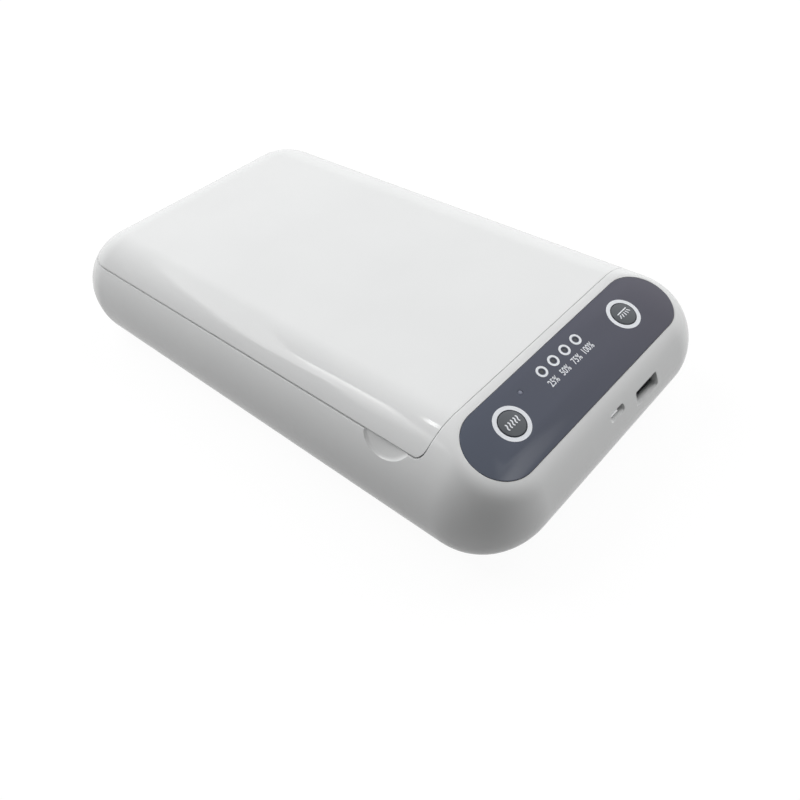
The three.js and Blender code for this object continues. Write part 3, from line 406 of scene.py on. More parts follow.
def skin(rings, ringed=False):
    """Points and faces of the skin over rings of equal size. The quad (i, j) joins points j and j + 1 of rings i and
    i + 1; caps close both ends, or the last ring joins the first."""
    levels, count = rings.shape[:2]
    low = np.arange(levels * count).reshape(levels, count)
    low, high = (low, np.roll(low, -1, axis=0)) if ringed else (low[:-1], low[1:])
    faces = np.stack([low, np.roll(low, -1, 1), np.roll(high, -1, 1), high], -1).reshape(-1, 4).tolist()
    if not ringed:
        faces += [list(range(count))[::-1], list(range((levels - 1) * count, levels * count))]
    return rings.reshape(-1, 3), faces


def prism(outline, z0, z1):
    """Upright form over an outline: the same ring in two levels."""
    return skin(stacked([outline] * 2, [z0, z1]))


def slab(outline, z0, z1, edge):
    """Plate between two levels whose edges are quarter circles, along which the outline draws in."""
    grows, levels = quarter((0, edge), (-edge, 0), 3)[::-1].T
    outlines = [outline(grow) for grow in (*grows, *grows[::-1])]
    return skin(stacked(outlines, [*(z0 + levels), *(z1 - levels[::-1])]))


def box_form(x0, x1, y0, y1, z0, z1):
    """Plain box, as a cutter or a block."""
    return prism(np.array([(x1, y1), (x0, y1), (x0, y0), (x1, y0)], float), z0, z1)


def rods(radius, z0, z1, places, sides=48):
    """Upright rods of one kind, one at each place: prisms over circles."""
    return [prism(circle(radius, sides) + place, z0, z1) for place in places]


def turned(profile, sides):
    """Form turned about Z: the ring at (r, z) of the profile is r * (cos t, sin t) in the level z. A zero radius at
    either end is drawn as a point-sized ring, so that the cap closes the pole."""
    point_size = 0.002
    profile = np.array(profile, float)
    return skin(stacked([circle(max(r, point_size), sides) for r in profile[:, 0]], profile[:, 1]))


def bar_across(outline, x0, x1):
    """Bar along X over an outline in (y, z) that runs anticlockwise seen from +X."""
    return skin(np.stack([np.column_stack([np.full(len(outline), x), outline]) for x in (x0, x1)]))


def hinge_rod(radius, x0, x1, sides=48):
    """Round bar on the hinges' axis."""
    return bar_across(circle(radius, sides) + HINGE, x0, x1)


def along_y(outlines, levels, x, z):
    """Rings in planes square to Y, round (x, z): an outline for each y, taken in the order that faces outwards."""
    rings = np.stack([
        np.column_stack([x + outline[:, 0], np.full(len(outline), y), z + outline[:, 1]])
        for outline, y in zip(outlines, levels)])
    return rings[::-1] if levels[-1] > levels[0] else rings


def swept(path, radius, sides):
    """Round bar along a level path: at each point a circle stands square to the path's direction."""
    ahead = unit(np.gradient(path, axis=0))
    left = np.column_stack([-ahead[:, 1], ahead[:, 0], np.zeros(len(path))])
    ring = circle(radius, sides)
    return skin(path[:, None] + ring[:, :1] * left[:, None] + ring[:, 1:] * np.array([0.0, 0.0, 1.0]))


def ribbon(path, width, height_at):
    """Flat printed stroke along a path in the panel's plane: a thin rectangle is carried along it, lying on the
    surface whose height is height_at(x, y)."""
    ahead = unit(np.gradient(path, axis=0))
    side = np.column_stack([-ahead[:, 1], ahead[:, 0]]) * width / 2
    left, right = path + side, path - side
    corners = ((right, 0), (left, 0), (left, INK_THICKNESS), (right, INK_THICKNESS))
    rings = np.stack([np.column_stack([corner, height_at(corner) + lift]) for corner, lift in corners], 1)
    return skin(rings[:, ::-1])


def moved(form, matrix):
    """A form under a 4 by 4 matrix."""
    points, faces = form
    matrix = np.array(matrix)
    return points @ matrix[:3, :3].T + matrix[:3, 3], faces


def shifted(form, x, y):
    """A form moved level."""
    return form[0] + (x, y, 0), form[1]


def on_deck(form):
    """A form brought from the deck's own plane to its place on the slope."""
    return moved(form, DECK_PLACE)


def bundle(forms):
    """Several closed forms in one mesh."""
    points, faces, start = [], [], 0
    for part_points, part_faces in forms:
        points.append(part_points)
        faces += [[i + start for i in face] for face in part_faces]
        start += len(part_points)
    return np.concatenate(points), faces


# The body's outer form

def body_rings(inset, corner, top, bottom):
    """Outlines of the body, level by level, or of the same form a wall's thickness inside it. Above the widest level
    the outline draws in by (round - inset) * (1 - cos t) and rises by (height - inset) * sin t. Below, the sides, the
    ends and the corner radius each change by their own share of 1 - cos t."""
    lower = np.linspace(np.pi / 2, 0, bottom + 1)[:-1]
    upper = np.linspace(0, np.pi / 2, top + 1)

    def drawn_in(size, lower_change):
        return np.concatenate([
            size - lower_change * (1 - np.cos(lower)), size - (TOP_ROUND - inset) * (1 - np.cos(upper))])

    half_x = drawn_in(HALF_WIDTH - inset, SIDE_TUCK - inset)
    half_y = drawn_in(HALF_LENGTH - inset, END_TUCK - inset)
    radii = drawn_in(PLAN_RADIUS - inset, PLAN_RADIUS - inset - BOTTOM_RADIUS)
    levels = np.concatenate([
        WIDEST - (WIDEST - UNDERSIDE - inset) * np.sin(lower), WIDEST + (TOP - WIDEST - inset) * np.sin(upper)])
    return stacked([centred(x, y, r, steps=corner) for x, y, r in zip(half_x, half_y, radii)], levels)


def body_form(inset, corner, top, bottom):
    """The body, or the same form inside it, as one closed form."""
    return skin(body_rings(inset, corner, top, bottom))


def drawn_in_at(z):
    """How far the body has drawn in at a level above its widest: round * (1 - cos t), where height * sin t reaches
    that level."""
    share = (z - WIDEST) / (TOP - WIDEST)
    return TOP_ROUND * (1 - math.sqrt(1 - share * share))


def beyond_centres(points, centre):
    """How far points lie out from the nearest corner centre or side, seen from above, and in which direction, as in
    the quarter where x and y are positive."""
    beyond = np.maximum(np.abs(points[:, :2]) - centre, 0)
    return np.linalg.norm(beyond, axis=1), unit(beyond)


def deck_blend(points):
    """How the body rolls over into the deck. The level is the smooth minimum of two levels, the body's b and the
    deck's d: with h = 0.5 + (d - b) / 2k, held between 0 and 1, it is d + (b - d) h - k h (1 - h). The width k runs
    from one value down the slope to another near the lid. Gives the level, the normal and h."""
    reach, plan = beyond_centres(points, (HALF_WIDTH - PLAN_RADIUS, HALF_LENGTH - PLAN_RADIUS))
    cosine = 1 - np.clip(PLAN_RADIUS - reach, 0, TOP_ROUND) / TOP_ROUND
    sine = np.sqrt(1 - cosine ** 2)
    body = WIDEST + (TOP - WIDEST) * sine
    deck = KEY_ROW_Z + (points[:, 1] - KEY_ROW_Y) * math.tan(DECK_TILT)
    span = DECK_BLEND_Y[1] - DECK_BLEND_Y[0]
    step = np.clip((points[:, 1] - DECK_BLEND_Y[0]) / span, 0, 1)
    growth = DECK_BLEND[1] - DECK_BLEND[0]
    width = DECK_BLEND[0] + growth * step ** 2 * (3 - 2 * step)
    h = np.clip(0.5 + 0.5 * (deck - body) / width, 0, 1)
    fall = h * (TOP - WIDEST) * cosine / (TOP_ROUND * np.maximum(sine, 1e-6))
    normals = np.column_stack([plan * np.sign(points[:, :2]) * fall[:, None], np.ones(len(points))])
    normals[:, 1] += (h - 1) * math.tan(DECK_TILT) + h * (1 - h) * growth * 6 * step * (1 - step) / span
    return deck + (body - deck) * h - width * h * (1 - h), unit(normals), h


def outer_form(corner):
    """The body and its deck as one closed form. Points are added along the long sides and in the level top, where
    the deck begins, and every point above the widest level goes to the blended level over its place."""
    rings = body_rings(0.0, corner, top=48, bottom=20)
    front = 2 * (corner + 1)
    beside = np.linspace(*DECK_START, 13)
    left, right = (np.repeat(rings[:, i][:, None], len(beside), axis=1) for i in (front, -1))
    left[..., 1], right[..., 1] = beside, beside[::-1]
    rings = np.concatenate([rings[:, :front], left, rings[:, front:], right], axis=1)
    # rings in the top draw in by 6 per cent, and by 14 mm more at the front
    inward = np.linspace(0, 1, 25)[1:, None, None]
    before = (rings[-1, :, 1:2] < 0) * np.array([0, 14.0, 0])
    rings = np.concatenate([rings, rings[-1] * (1 - inward * (0.06, 0.06, 0)) + before * inward])
    high = rings[..., 2] >= WIDEST - 1e-6
    rings[high, 2] = deck_blend(rings[high])[0]
    return skin(rings)


def body_normals(points):
    """Outward normals of the body's outer form at points near it, and their distance from it. The outline at each
    level is a rectangle of corner centres grown by a radius, so seen from above the normal leaves the nearest corner
    centre or side; its rise is the round's own slope."""
    above = points[:, 2] >= WIDEST
    height = np.where(above, TOP - WIDEST, WIDEST - UNDERSIDE)
    sine = np.clip(np.abs(points[:, 2] - WIDEST) / height, 0, 1)
    cosine = np.sqrt(1 - sine ** 2)
    share = 1 - cosine
    shrink = PLAN_RADIUS - BOTTOM_RADIUS
    shift = np.array([shrink - SIDE_TUCK, shrink - END_TUCK])
    centre = (HALF_WIDTH - PLAN_RADIUS, HALF_LENGTH - PLAN_RADIUS) + shift * (share * ~above)[:, None]
    reach, plan = beyond_centres(points, centre)
    fall = np.where(above, TOP_ROUND, shrink - plan @ shift)
    flat = plan * np.sign(points[:, :2]) * (height * cosine)[:, None]
    normals = np.column_stack([flat, np.where(above, 1, -1) * fall * sine])
    return unit(normals), reach - (PLAN_RADIUS - np.where(above, TOP_ROUND, shrink) * share)


def outer_normals(points):
    """Normals of the body with its deck at points near it, and their distance from it."""
    normals, distance = body_normals(points)
    level, blended, h = deck_blend(points)
    rolled = (h < 1) & (points[:, 2] > WIDEST)
    return (np.where(rolled[:, None], blended, normals),
            np.where(rolled, (points[:, 2] - level) * blended[:, 2], distance))


# Outlines that several pieces share

def well_outline(grow):
    """The phone well."""
    return centred(WELL_HALF_WIDTH, WELL_HALF_LENGTH, WELL_RADIUS, grow, WELL_MIDDLE, 16)


def pit_outline(grow):
    """The lower part of the well, under the phone rest."""
    return centred(
        WELL_HALF_WIDTH - LEDGE_WIDTH, WELL_HALF_LENGTH - LEDGE_WIDTH, WELL_RADIUS - 4, grow, WELL_MIDDLE, 16)


def cover_outline(grow):
    """The base cover."""
    return centred(COVER_HALF_WIDTH, COVER_HALF_LENGTH, COVER_RADIUS, grow)


def panel_outline(grow):
    """The key panel, with rounder corners towards the lid."""
    return rounded_outline(
        PANEL_LEFT - grow, PANEL_RIGHT + grow, PANEL_FRONT - grow, PANEL_BACK + grow,
        PANEL_FRONT_RADIUS + grow, PANEL_BACK_RADIUS + grow, steps=24)


# From arrays to meshes

def linked(name, data):
    """New object in the scene that holds a mesh, letters, a camera or a lamp."""
    made = bpy.data.objects.new(name, data)
    bpy.context.scene.collection.objects.link(made)
    return made


def raw_object(name, form):
    """Object in millimetres, to be carved or finished."""
    points, faces = form
    mesh = bpy.data.meshes.new(name)
    mesh.from_pydata(points.tolist(), [], faces)
    return linked(name, mesh)


def shown_mesh(source):
    """The mesh that an object shows, with its modifiers or from its letters."""
    bpy.context.view_layer.update()
    return bpy.data.meshes.new_from_object(source.evaluated_get(bpy.context.evaluated_depsgraph_get()))


def carve(made, operation, forms):
    """Cuts, joins or intersects the object with closed forms or other objects, one after another."""
    tools = [form if isinstance(form, bpy.types.Object) else raw_object("tool", form) for form in forms]
    for tool in tools:
        step = made.modifiers.new("carve", "BOOLEAN")
        step.operation = operation
        step.solver = "MANIFOLD"
        step.object = tool
    plain, made.data = made.data, shown_mesh(made)
    made.modifiers.clear()
    bpy.data.meshes.remove(plain)
    for tool in tools:
        bpy.data.objects.remove(tool)
    if not len(made.data.polygons):
        raise RuntimeError(f"{made.name}: nothing is left after a {operation.lower()}")
    return made


def read(items, key, kind=float, width=3):
    """One value of every item as an array, with a row for each item."""
    values = np.zeros(len(items) * width, kind)
    items.foreach_get(key, values)
    return values.reshape(-1, width) if width > 1 else values


def shade(mesh, angle, outer):
    """Smooth shading between faces that meet at less than the angle. On the body's outer form the normals come from
    its formula, so that cuts leave no mark in the gloss."""
    mesh.shade_smooth()
    mesh.set_sharp_from_angle(angle=math.radians(angle))
    if not outer:
        return
    near, parallel, level = 0.08, 0.97, 0.9999
    corners = read(mesh.corner_normals, "vector")
    points = read(mesh.vertices, "co")[read(mesh.loops, "vertex_index", int, 1)]
    count = read(mesh.polygons, "loop_total", int, 1)
    centre, facing = read(mesh.polygons, "center"), read(mesh.polygons, "normal")
    wanted, distance = outer_normals(centre)
    on_form = (np.abs(distance) < near) & ((wanted * facing).sum(1) > parallel) & (centre[:, 2] < TOP - 1e-4)
    on_form = np.repeat(on_form, count)
    corners[on_form] = outer_normals(points[on_form])[0]
    for height, up in ((TOP, 1), (UNDERSIDE, -1)):
        flat = (facing[:, 2] * up > level) & (np.abs(centre[:, 2] - height) < 0.01)
        corners[np.repeat(flat, count)] = (0, 0, up)
    mesh.normals_split_custom_set(corners.tolist())


def finish_piece(made, body, key, node=None, angle=32.0, outer=False):
    """Brings a piece from millimetres to metres and gives it its shading, finish and body. It may stand for a node of
    the frame."""
    mesh = made.data
    shade(mesh, angle, outer)
    mesh.transform(Matrix.Scale(0.001, 4))
    mesh.materials.clear()
    mesh.materials.append(finish(key))
    if node:
        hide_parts(node)
    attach(made, body)


def piece(name, form, body, key, node=None):
    """One piece straight from a form."""
    finish_piece(raw_object(name, form), body, key, node)


# Materials

def add_node(tree, kind, inputs=None, tones=(), **settings):
    """Adds a node with its settings. An input takes a value, or a link where it is given another node's socket. The
    two tones of a ramp stand where most of a pattern's values begin and end."""
    node = tree.nodes.new(kind)
    for key, value in settings.items():
        setattr(node, key, value)
    for key, value in (inputs or {}).items():
        if isinstance(value, bpy.types.NodeSocket):
            tree.links.new(value, node.inputs[key])
        else:
            node.inputs[key].default_value = value
    for i, tone in enumerate(tones):
        node.color_ramp.elements[i].position = RAMP_ENDS[i]
        node.color_ramp.elements[i].color = (*tone, 1)
    return node


def blank_material(name):
    """An empty material, its tree and its object coordinates."""
    material = bpy.data.materials.new(name)
    material.use_nodes = True
    tree = material.node_tree
    tree.nodes.clear()
    return material, tree, add_node(tree, "ShaderNodeTexCoord").outputs["Object"]


def close_material(material, inputs):
    """Ends a material with its shader."""
    shader = add_node(material.node_tree, "ShaderNodeBsdfPrincipled", inputs)
    add_node(material.node_tree, "ShaderNodeOutputMaterial", {"Surface": shader.outputs["BSDF"]})
    return material


def tinted(colour, *factors):
    """The colour times each factor, held at 1."""
    return [tuple(min(1.0, c * factor) for c in colour) for factor in factors]


def moulded_plastic(name, colour, roughness, ripple=0.0, grain=0.0, grain_size=0.0004, edge=0.0, coat=0.0, ior=1.53,
                    painted_light_colour=None):
    """Injection-moulded plastic. The melt's flow leaves a tone that drifts by about one per cent over some 40 mm, the
    polish varies over some 9 mm, sink gives a long ripple of some 28 mm, and a texture may add a fine grain. A colour
    of painted light may take over towards the right end, where the surface catches other light."""
    material, tree, coords = blank_material(name)
    drift = add_node(tree, "ShaderNodeTexNoise", {"Vector": coords, "Scale": TONE_DRIFT, "Detail": 2.0})
    polish = add_node(tree, "ShaderNodeTexNoise", {"Vector": coords, "Scale": POLISH_DRIFT, "Detail": 4.0})
    gloss = add_node(tree, "ShaderNodeMapRange", {
        "Value": polish.outputs["Fac"], "From Min": 0.3, "From Max": 0.7,
        "To Min": roughness * 0.88, "To Max": roughness * 1.14})
    normal = {}
    if edge:
        rounded = add_node(tree, "ShaderNodeBevel", {"Radius": edge}, samples=4)
        normal = {"Normal": rounded.outputs["Normal"]}
    for scale, detail, depth in ((SINK_WAVE, 1.0, ripple), (1 / grain_size, 2.0, grain)):
        if depth:
            relief = add_node(tree, "ShaderNodeTexNoise", {"Vector": coords, "Scale": scale, "Detail": detail})
            bump = add_node(tree, "ShaderNodeBump", {"Height": relief.outputs["Fac"], "Distance": depth, **normal})
            normal = {"Normal": bump.outputs["Normal"]}
    tone = add_node(tree, "ShaderNodeValToRGB", {"Fac": drift.outputs["Fac"]}, tinted(colour, 0.988, 1.008))
    tone = tone.outputs["Color"]
    # painted light: across the middle 100 mm along X the tone turns into the colour of the right end
    if painted_light_colour:
        across = add_node(tree, "ShaderNodeSeparateXYZ", {"Vector": coords}).outputs["X"]
        share = add_node(tree, "ShaderNodeMapRange", {"Value": across, "From Min": -0.05, "From Max": 0.05})
        tone = add_node(tree, "ShaderNodeMix", {
            "Factor": share.outputs["Result"], "A": tone, "B": (*painted_light_colour, 1)}, data_type="RGBA").outputs["Result"]
    return close_material(material, {
        "Base Color": tone, "Roughness": gloss.outputs["Result"], "IOR": ior,
        "Coat Weight": coat, "Coat Roughness": 0.04, **normal})


def drawn_metal(name, colour, roughness, edge=0.0002):
    """Plated sheet or drawn wire: fine lines along X from the rolling, a tenth of a millimetre apart, that spread the
    gloss across them. The metal keeps the default IOR."""
    material, tree, coords = blank_material(name)
    stretch = add_node(tree, "ShaderNodeMapping", {
        "Vector": coords, "Scale": (1 / DRAWN_LENGTH, 1 / DRAWN_LINE, 1 / DRAWN_LINE)})
    lines = add_node(tree, "ShaderNodeTexNoise", {"Vector": stretch.outputs["Vector"], "Scale": 1.0, "Detail": 3.0})
    lines = lines.outputs["Fac"]
    gloss = add_node(tree, "ShaderNodeMapRange", {
        "Value": lines, "To Min": roughness * 0.7, "To Max": roughness * 1.4})
    rounded = add_node(tree, "ShaderNodeBevel", {"Radius": edge}, samples=4)
    bump = add_node(tree, "ShaderNodeBump", {
        "Height": lines, "Distance": 0.000004, "Normal": rounded.outputs["Normal"]})
    tone = add_node(tree, "ShaderNodeValToRGB", {"Fac": lines}, tinted(colour, 0.9, 1.06))
    return close_material(material, {
        "Base Color": tone.outputs["Color"], "Metallic": 1.0, "Roughness": gloss.outputs["Result"],
        "Normal": bump.outputs["Normal"]})


def fused_quartz():
    """Fused quartz, drawn into tube: clear, with a faint milky bloom where the lamp's own deposit has formed."""
    material, tree, coords = blank_material("Fused quartz, drawn tube")
    bloom = add_node(tree, "ShaderNodeTexNoise", {"Vector": coords, "Scale": QUARTZ_BLOOM, "Detail": 3.0})
    haze = add_node(tree, "ShaderNodeMapRange", {"Value": bloom.outputs["Fac"], "To Min": 0.03, "To Max": 0.16})
    tone = add_node(tree, "ShaderNodeValToRGB", {"Fac": bloom.outputs["Fac"]}, (linear("DDE7EE"), linear("F2F6F8")))
    return close_material(material, {
        "Base Color": tone.outputs["Color"], "Roughness": haze.outputs["Result"], "IOR": 1.46,
        "Transmission Weight": 0.85})


def circuit_board():
    """Glass-epoxy board under green solder resist: copper tracks some 0.5 mm wide show through as a lighter green."""
    material, tree, coords = blank_material("Solder resist on glass epoxy")
    cells = add_node(
        tree, "ShaderNodeTexVoronoi", {"Vector": coords, "Scale": TRACK_FIELDS}, distance="MANHATTAN", feature="F1")
    step = add_node(tree, "ShaderNodeMath", {0: cells.outputs["Distance"], 1: 0.62}, operation="GREATER_THAN")
    bump = add_node(tree, "ShaderNodeBump", {"Height": step.outputs["Value"], "Distance": 0.00002})
    tone = add_node(tree, "ShaderNodeValToRGB", {"Fac": step.outputs["Value"]}, (linear("1C6A44"), linear("2F8A5A")))
    return close_material(material, {
        "Base Color": tone.outputs["Color"], "Roughness": 0.32, "IOR": 1.5, "Normal": bump.outputs["Normal"]})


def pressed_felt():
    """Wool felt, needled and pressed: matt, with loose fibres about 0.15 mm apart that catch light at its edge."""
    material, tree, coords = blank_material("Wool felt, pressed")
    tangle = add_node(tree, "ShaderNodeTexNoise", {
        "Vector": coords, "Scale": FELT_TANGLE, "Detail": 6.0, "Roughness": 0.7, "Distortion": 1.5})
    bump = add_node(tree, "ShaderNodeBump", {"Height": tangle.outputs["Fac"], "Distance": 0.00025})
    tone = add_node(tree, "ShaderNodeValToRGB", {"Fac": tangle.outputs["Fac"]}, (linear("C9C3B2"), linear("E6E1D2")))
    return close_material(material, {
        "Base Color": tone.outputs["Color"], "Roughness": 0.95, "Sheen Weight": 0.4,
        "Normal": bump.outputs["Normal"]})


RECIPES = {
    # ABS polished in the mould: a hard even white that mirrors lamps sharply, a little wavy over the wide faces
    "shell": lambda: moulded_plastic(
        "ABS, moulded and polished", tuple(bpy.context.scene.uvbox_shell.colour), 0.06, ripple=0.00009,
        edge=bpy.context.scene.uvbox_shell.edge_radius),
    # the same ABS from a fine-blasted mould, inside the box: a soft white sheen with no mirror in it
    "inner": lambda: moulded_plastic(
        "ABS, moulded satin", linear("E2E4E5"), 0.42, grain=0.000012, grain_size=0.0005, edge=0.0004),
    # acrylic sheet, smoked and polished: deep colour under a sharp reflection, with painted light that makes it a
    # little warmer to the right
    "panel": lambda: moulded_plastic(
        "Acrylic, smoked and polished", tuple(bpy.context.scene.uvbox_panel.panel_colour), 0.1, ripple=0.00002,
        edge=0.00015, coat=0.3, ior=1.49, painted_light_colour=tuple(bpy.context.scene.uvbox_panel.panel_painted_light_colour)),
    # ABS coloured in the melt: a mid grey whose broad highlight rolls over the crown
    "key": lambda: moulded_plastic(
        "ABS, moulded semi-gloss grey", tuple(bpy.context.scene.uvbox_panel.key_colour), 0.24, edge=0.0001),
    # epoxy screen ink: it stands up from the panel a little and is slightly matt
    "ink": lambda: moulded_plastic(
        "Epoxy screen ink, white", tuple(bpy.context.scene.uvbox_panel.ink_colour), 0.4,
        grain=0.000004, grain_size=0.0002),
    # smoked acrylic rod with a polished tip: almost black, with a small bright spot
    "lens": lambda: moulded_plastic("Acrylic, smoked light guide", linear("4A4D52"), 0.08, coat=0.4, ior=1.49),
    # the same rod with a blasted tip: paler, since it scatters what falls on it
    "frost": lambda: moulded_plastic("Acrylic, frosted light guide", linear("8A8E9E"), 0.35, ior=1.49),
    # nylon from a blasted mould: a black that the grain greys where light grazes it
    "black": lambda: moulded_plastic(
        "Nylon, moulded black", linear("232427"), 0.4, grain=0.00001, grain_size=0.0004, edge=0.0002),
    # silicone rubber with a spark-eroded grain of about 0.3 mm: matt, with hardly any highlight
    "rubber": lambda: moulded_plastic(
        "Silicone rubber, moulded", linear("3A3B3D"), 0.62, grain=0.00003, grain_size=0.0003, edge=0.0002, ior=1.41),
    # pressed and sintered powder: a dull brownish black with a coarse bite
    "ferrite": lambda: moulded_plastic(
        "Ferrite, pressed and sintered", linear("3D3B3A"), 0.6, grain=0.00004, grain_size=0.0006, edge=0.0003,
        ior=1.9),
    # tin on steel sheet: a pale bright metal
    "tin": lambda: drawn_metal("Steel sheet, tin plated", linear("E2E3E4"), 0.2),
    # nickel on steel sheet: a warmer and slightly darker metal
    "steel": lambda: drawn_metal("Steel sheet, nickel plated", linear("C2C4C6"), 0.24),
    # zinc on a turned screw: a grey metal with a softer highlight
    "zinc": lambda: drawn_metal("Steel screw, zinc plated", linear("A9ACAF"), 0.3, edge=0.00015),
    "quartz": fused_quartz,
    "board": circuit_board,
    "felt": pressed_felt,
}
# Each finish's material, once it is made
FINISHES = {}


def finish(key):
    """The material of that key, made once."""
    if key not in FINISHES:
        FINISHES[key] = RECIPES[key]()
    return FINISHES[key]


# Shells

def lid_space(front_gap, gap):
    """Everything behind the lid's front edge and above its lower edge: the (y, z) outline has a quarter circle at the
    lower front corner."""
    front, low, corner = LID_FRONT + front_gap, PARTING + gap, LID_CORNER - front_gap
    arc = quarter((front, low + corner), (front + corner, low), 12)
    return bar_across(np.vstack([arc, [(FAR, low), (FAR, FAR), (front, FAR)]]), -FAR, FAR)


def socket_hole(x, z, width, height, radius):
    """Hole along Y whose mouth opens in a curve: rounded rectangles that grow towards the outside, at depths given
    from the wall's face at the hole's middle."""
    face = -HALF_LENGTH + drawn_in_at(z)
    levels = [HOLE_END] + [face + depth for depth, _ in SOCKET_FLARE]
    grows = [0] + [grow for _, grow in SOCKET_FLARE]
    return skin(along_y([centred(width / 2, height / 2, radius, grow, steps=8) for grow in grows], levels, x, z))


def sleeve_room(x, z, width, height, mouth):
    """Room behind a socket's hole for the mouth of its sleeve."""
    outline = centred(width / 2 + FIT, height / 2 + FIT, 1.0)
    return skin(along_y([outline] * 2, [HOLE_END, mouth - FIT], x, z))


def scoop(side):
    """Dish square to the curved side: a floor that rises with the square of the radius, and a sloping edge."""
    lean = math.asin((SCOOP_LEVEL - WIDEST) / (TOP - WIDEST))
    r = np.linspace(0, SCOOP_RADIUS - 0.35, 15)
    dish = np.column_stack([r, -SCOOP_DEPTH + (SCOOP_DEPTH - SCOOP_EDGE) * (r / r[-1]) ** 2])
    profile = np.vstack([dish, [(SCOOP_RADIUS + 0.4, 0.0), (SCOOP_RADIUS + 3, 8.0), (0.0, 8.0)]])
    place = (Matrix.Translation((-(HALF_WIDTH - drawn_in_at(SCOOP_LEVEL)), SCOOP_Y, SCOOP_LEVEL))
             @ Matrix.Rotation(lean - math.pi / 2, 4, "Y") @ Matrix.Rotation(-math.pi / 2, 4, "Z")
             @ Matrix.Translation((0, SCOOP_RISE, 0)))
    if side > 0:
        place = Matrix.Translation((0, 2 * SCOOP_Y, 0)) @ Matrix.Rotation(math.pi, 4, "Z") @ place
    return moved(turned(profile, 96), place)


def case_shell():
    """The outer form below the lid, hollowed, with its hinge barrels, posts and magnet pots, and cut for what it
    holds."""
    shell = raw_object("case_shell", outer_form(bpy.context.scene.uvbox_shell.corner_steps))
    carve(shell, "DIFFERENCE", [lid_space(0, 0)])
    cavity = raw_object("cavity", body_form(CASE_WALL, corner=12, top=14, bottom=6))
    room = raw_object("room", box_form(-FAR, FAR, -FAR, FAR, CASE_FLOOR, PARTING - RIM))
    carve(room, "UNION", [box_form(-FAR, FAR, -FAR, LID_FRONT - CASE_WALL, CASE_FLOOR, FAR)])
    carve(cavity, "INTERSECT", [room])
    carve(cavity, "DIFFERENCE", [on_deck(box_form(-FAR, FAR, -FAR / 2, FAR / 2, -DECK_WALL, FAR / 4))])
    carve(shell, "DIFFERENCE", [cavity])

    half = LID_KNUCKLE / 2 + KNUCKLE_PLAY
    reach = half + CASE_KNUCKLE
    inset, front, foot = BACKING
    for x in (-HINGE_X, HINGE_X):
        backing = raw_object("backing", body_form(inset, corner=8, top=10, bottom=4))
        carve(backing, "INTERSECT", [box_form(x - reach, x + reach, front, FAR, foot, PARTING)])
        carve(shell, "UNION", [backing, hinge_rod(BARREL_RADIUS, x - reach, x + reach)])
    pot_top = PARTING - RIM
    posts = [on_deck(post) for post in rods(KEY_BOARD_POST, KEY_BOARD_TOP + FIT, 0.5 - DECK_WALL, KEY_BOARD_SCREWS)]
    carve(shell, "UNION", posts + rods(POT_RADIUS, pot_top - 2.2, pot_top + 0.3, CASE_MAGNETS))

    sunk = (rods(KEY_ROOM, -8, 0, KEYS) + rods(LENS_ROOM, -8, 0, LENSES, 24)
            + rods(POST_BORE, -8, -2.6, KEY_BOARD_SCREWS, 24))
    cutters = [
        prism(well_outline(FLANGE + FIT), PARTING - FLANGE_THICKNESS - FIT, FAR),
        prism(well_outline(TRAY_WALL + 0.5), PARTING - RIM - 1, FAR),
        prism(cover_outline(FIT), -1, COVER_TOP + FIT),
        prism(cover_outline(-1.9), -1, CASE_FLOOR + 0.1),
        on_deck(prism(panel_outline(PANEL_GAP), SHOULDER, 5)),
        socket_hole(*LARGE_HOLE), sleeve_room(*LARGE_SLEEVE, LARGE_MOUTH),
        socket_hole(*SMALL_HOLE), sleeve_room(*SMALL_SLEEVE, SMALL_MOUTH),
        scoop(-1), scoop(1),
        *(on_deck(hole) for hole in sunk),
        *rods(MAGNET_RADIUS + FIT, 0, pot_top, CASE_MAGNETS)]
    for x in (-HINGE_X, HINGE_X):
        cutters += [
            hinge_rod(BARREL_RADIUS + KNUCKLE_PLAY, x - half, x + half),
            bar_across(KNUCKLE_ROOM, x - half, x + half),
            hinge_rod(PIN_HOLE_RADIUS, x - reach + 0.8, x + reach - 0.8, 32)]
    carve(shell, "DIFFERENCE", cutters)
    finish_piece(shell, "case", "shell", "upper_case", outer=True)

    shelf = LEDGE - TRAY_WALL
    pillars = raw_object("screw_bosses", bundle(rods(BOSS_RADIUS, CASE_FLOOR + 0.8, shelf - 0.6, BOSSES)))
    carve(pillars, "DIFFERENCE", rods(BOSS_BORE, 0, shelf - 2.6, BOSSES, 24))
    finish_piece(pillars, "case", "inner")


def lid_knuckle(x):
    """Barrel on the hinges' axis and an arm that rises into the lid's rear wall, as one closed form."""
    x0, x1 = x - LID_KNUCKLE / 2, x + LID_KNUCKLE / 2
    return carve(raw_object("knuckle", hinge_rod(BARREL_RADIUS, x0, x1)), "UNION", [bar_across(KNUCKLE_ARM, x0, x1)])


def lid_shell():
    """The outer form above the seam, hollowed, with its screw posts and knuckles."""
    shell = raw_object("lid_cover", outer_form(bpy.context.scene.uvbox_shell.corner_steps))
    carve(shell, "INTERSECT", [lid_space(FRONT_SEAM, SIDE_SEAM)])
    hollow = raw_object("hollow", body_form(LID_WALL, corner=14, top=20, bottom=2))
    carve(hollow, "INTERSECT", [box_form(-FAR, FAR, LID_FRONT + SEAM + LID_WALL, FAR, 0, FAR)])
    carve(shell, "DIFFERENCE", [hollow])
    posts = rods(LID_POST, LINER_TOP + FIT, TOP - 1, LID_SCREWS)
    carve(shell, "UNION", posts + [lid_knuckle(-HINGE_X), lid_knuckle(HINGE_X)])
    pins = [hinge_rod(PIN_HOLE_RADIUS, x - 9, x + 9, 32) for x in (-HINGE_X, HINGE_X)]
    carve(shell, "DIFFERENCE", rods(LID_SCREW_HOLE, 0, TOP - 1.5, LID_SCREWS, 24) + pins)
    finish_piece(shell, "lid", "shell", "lid_shell", outer=True)


# Key panel, prints, keys and lenses

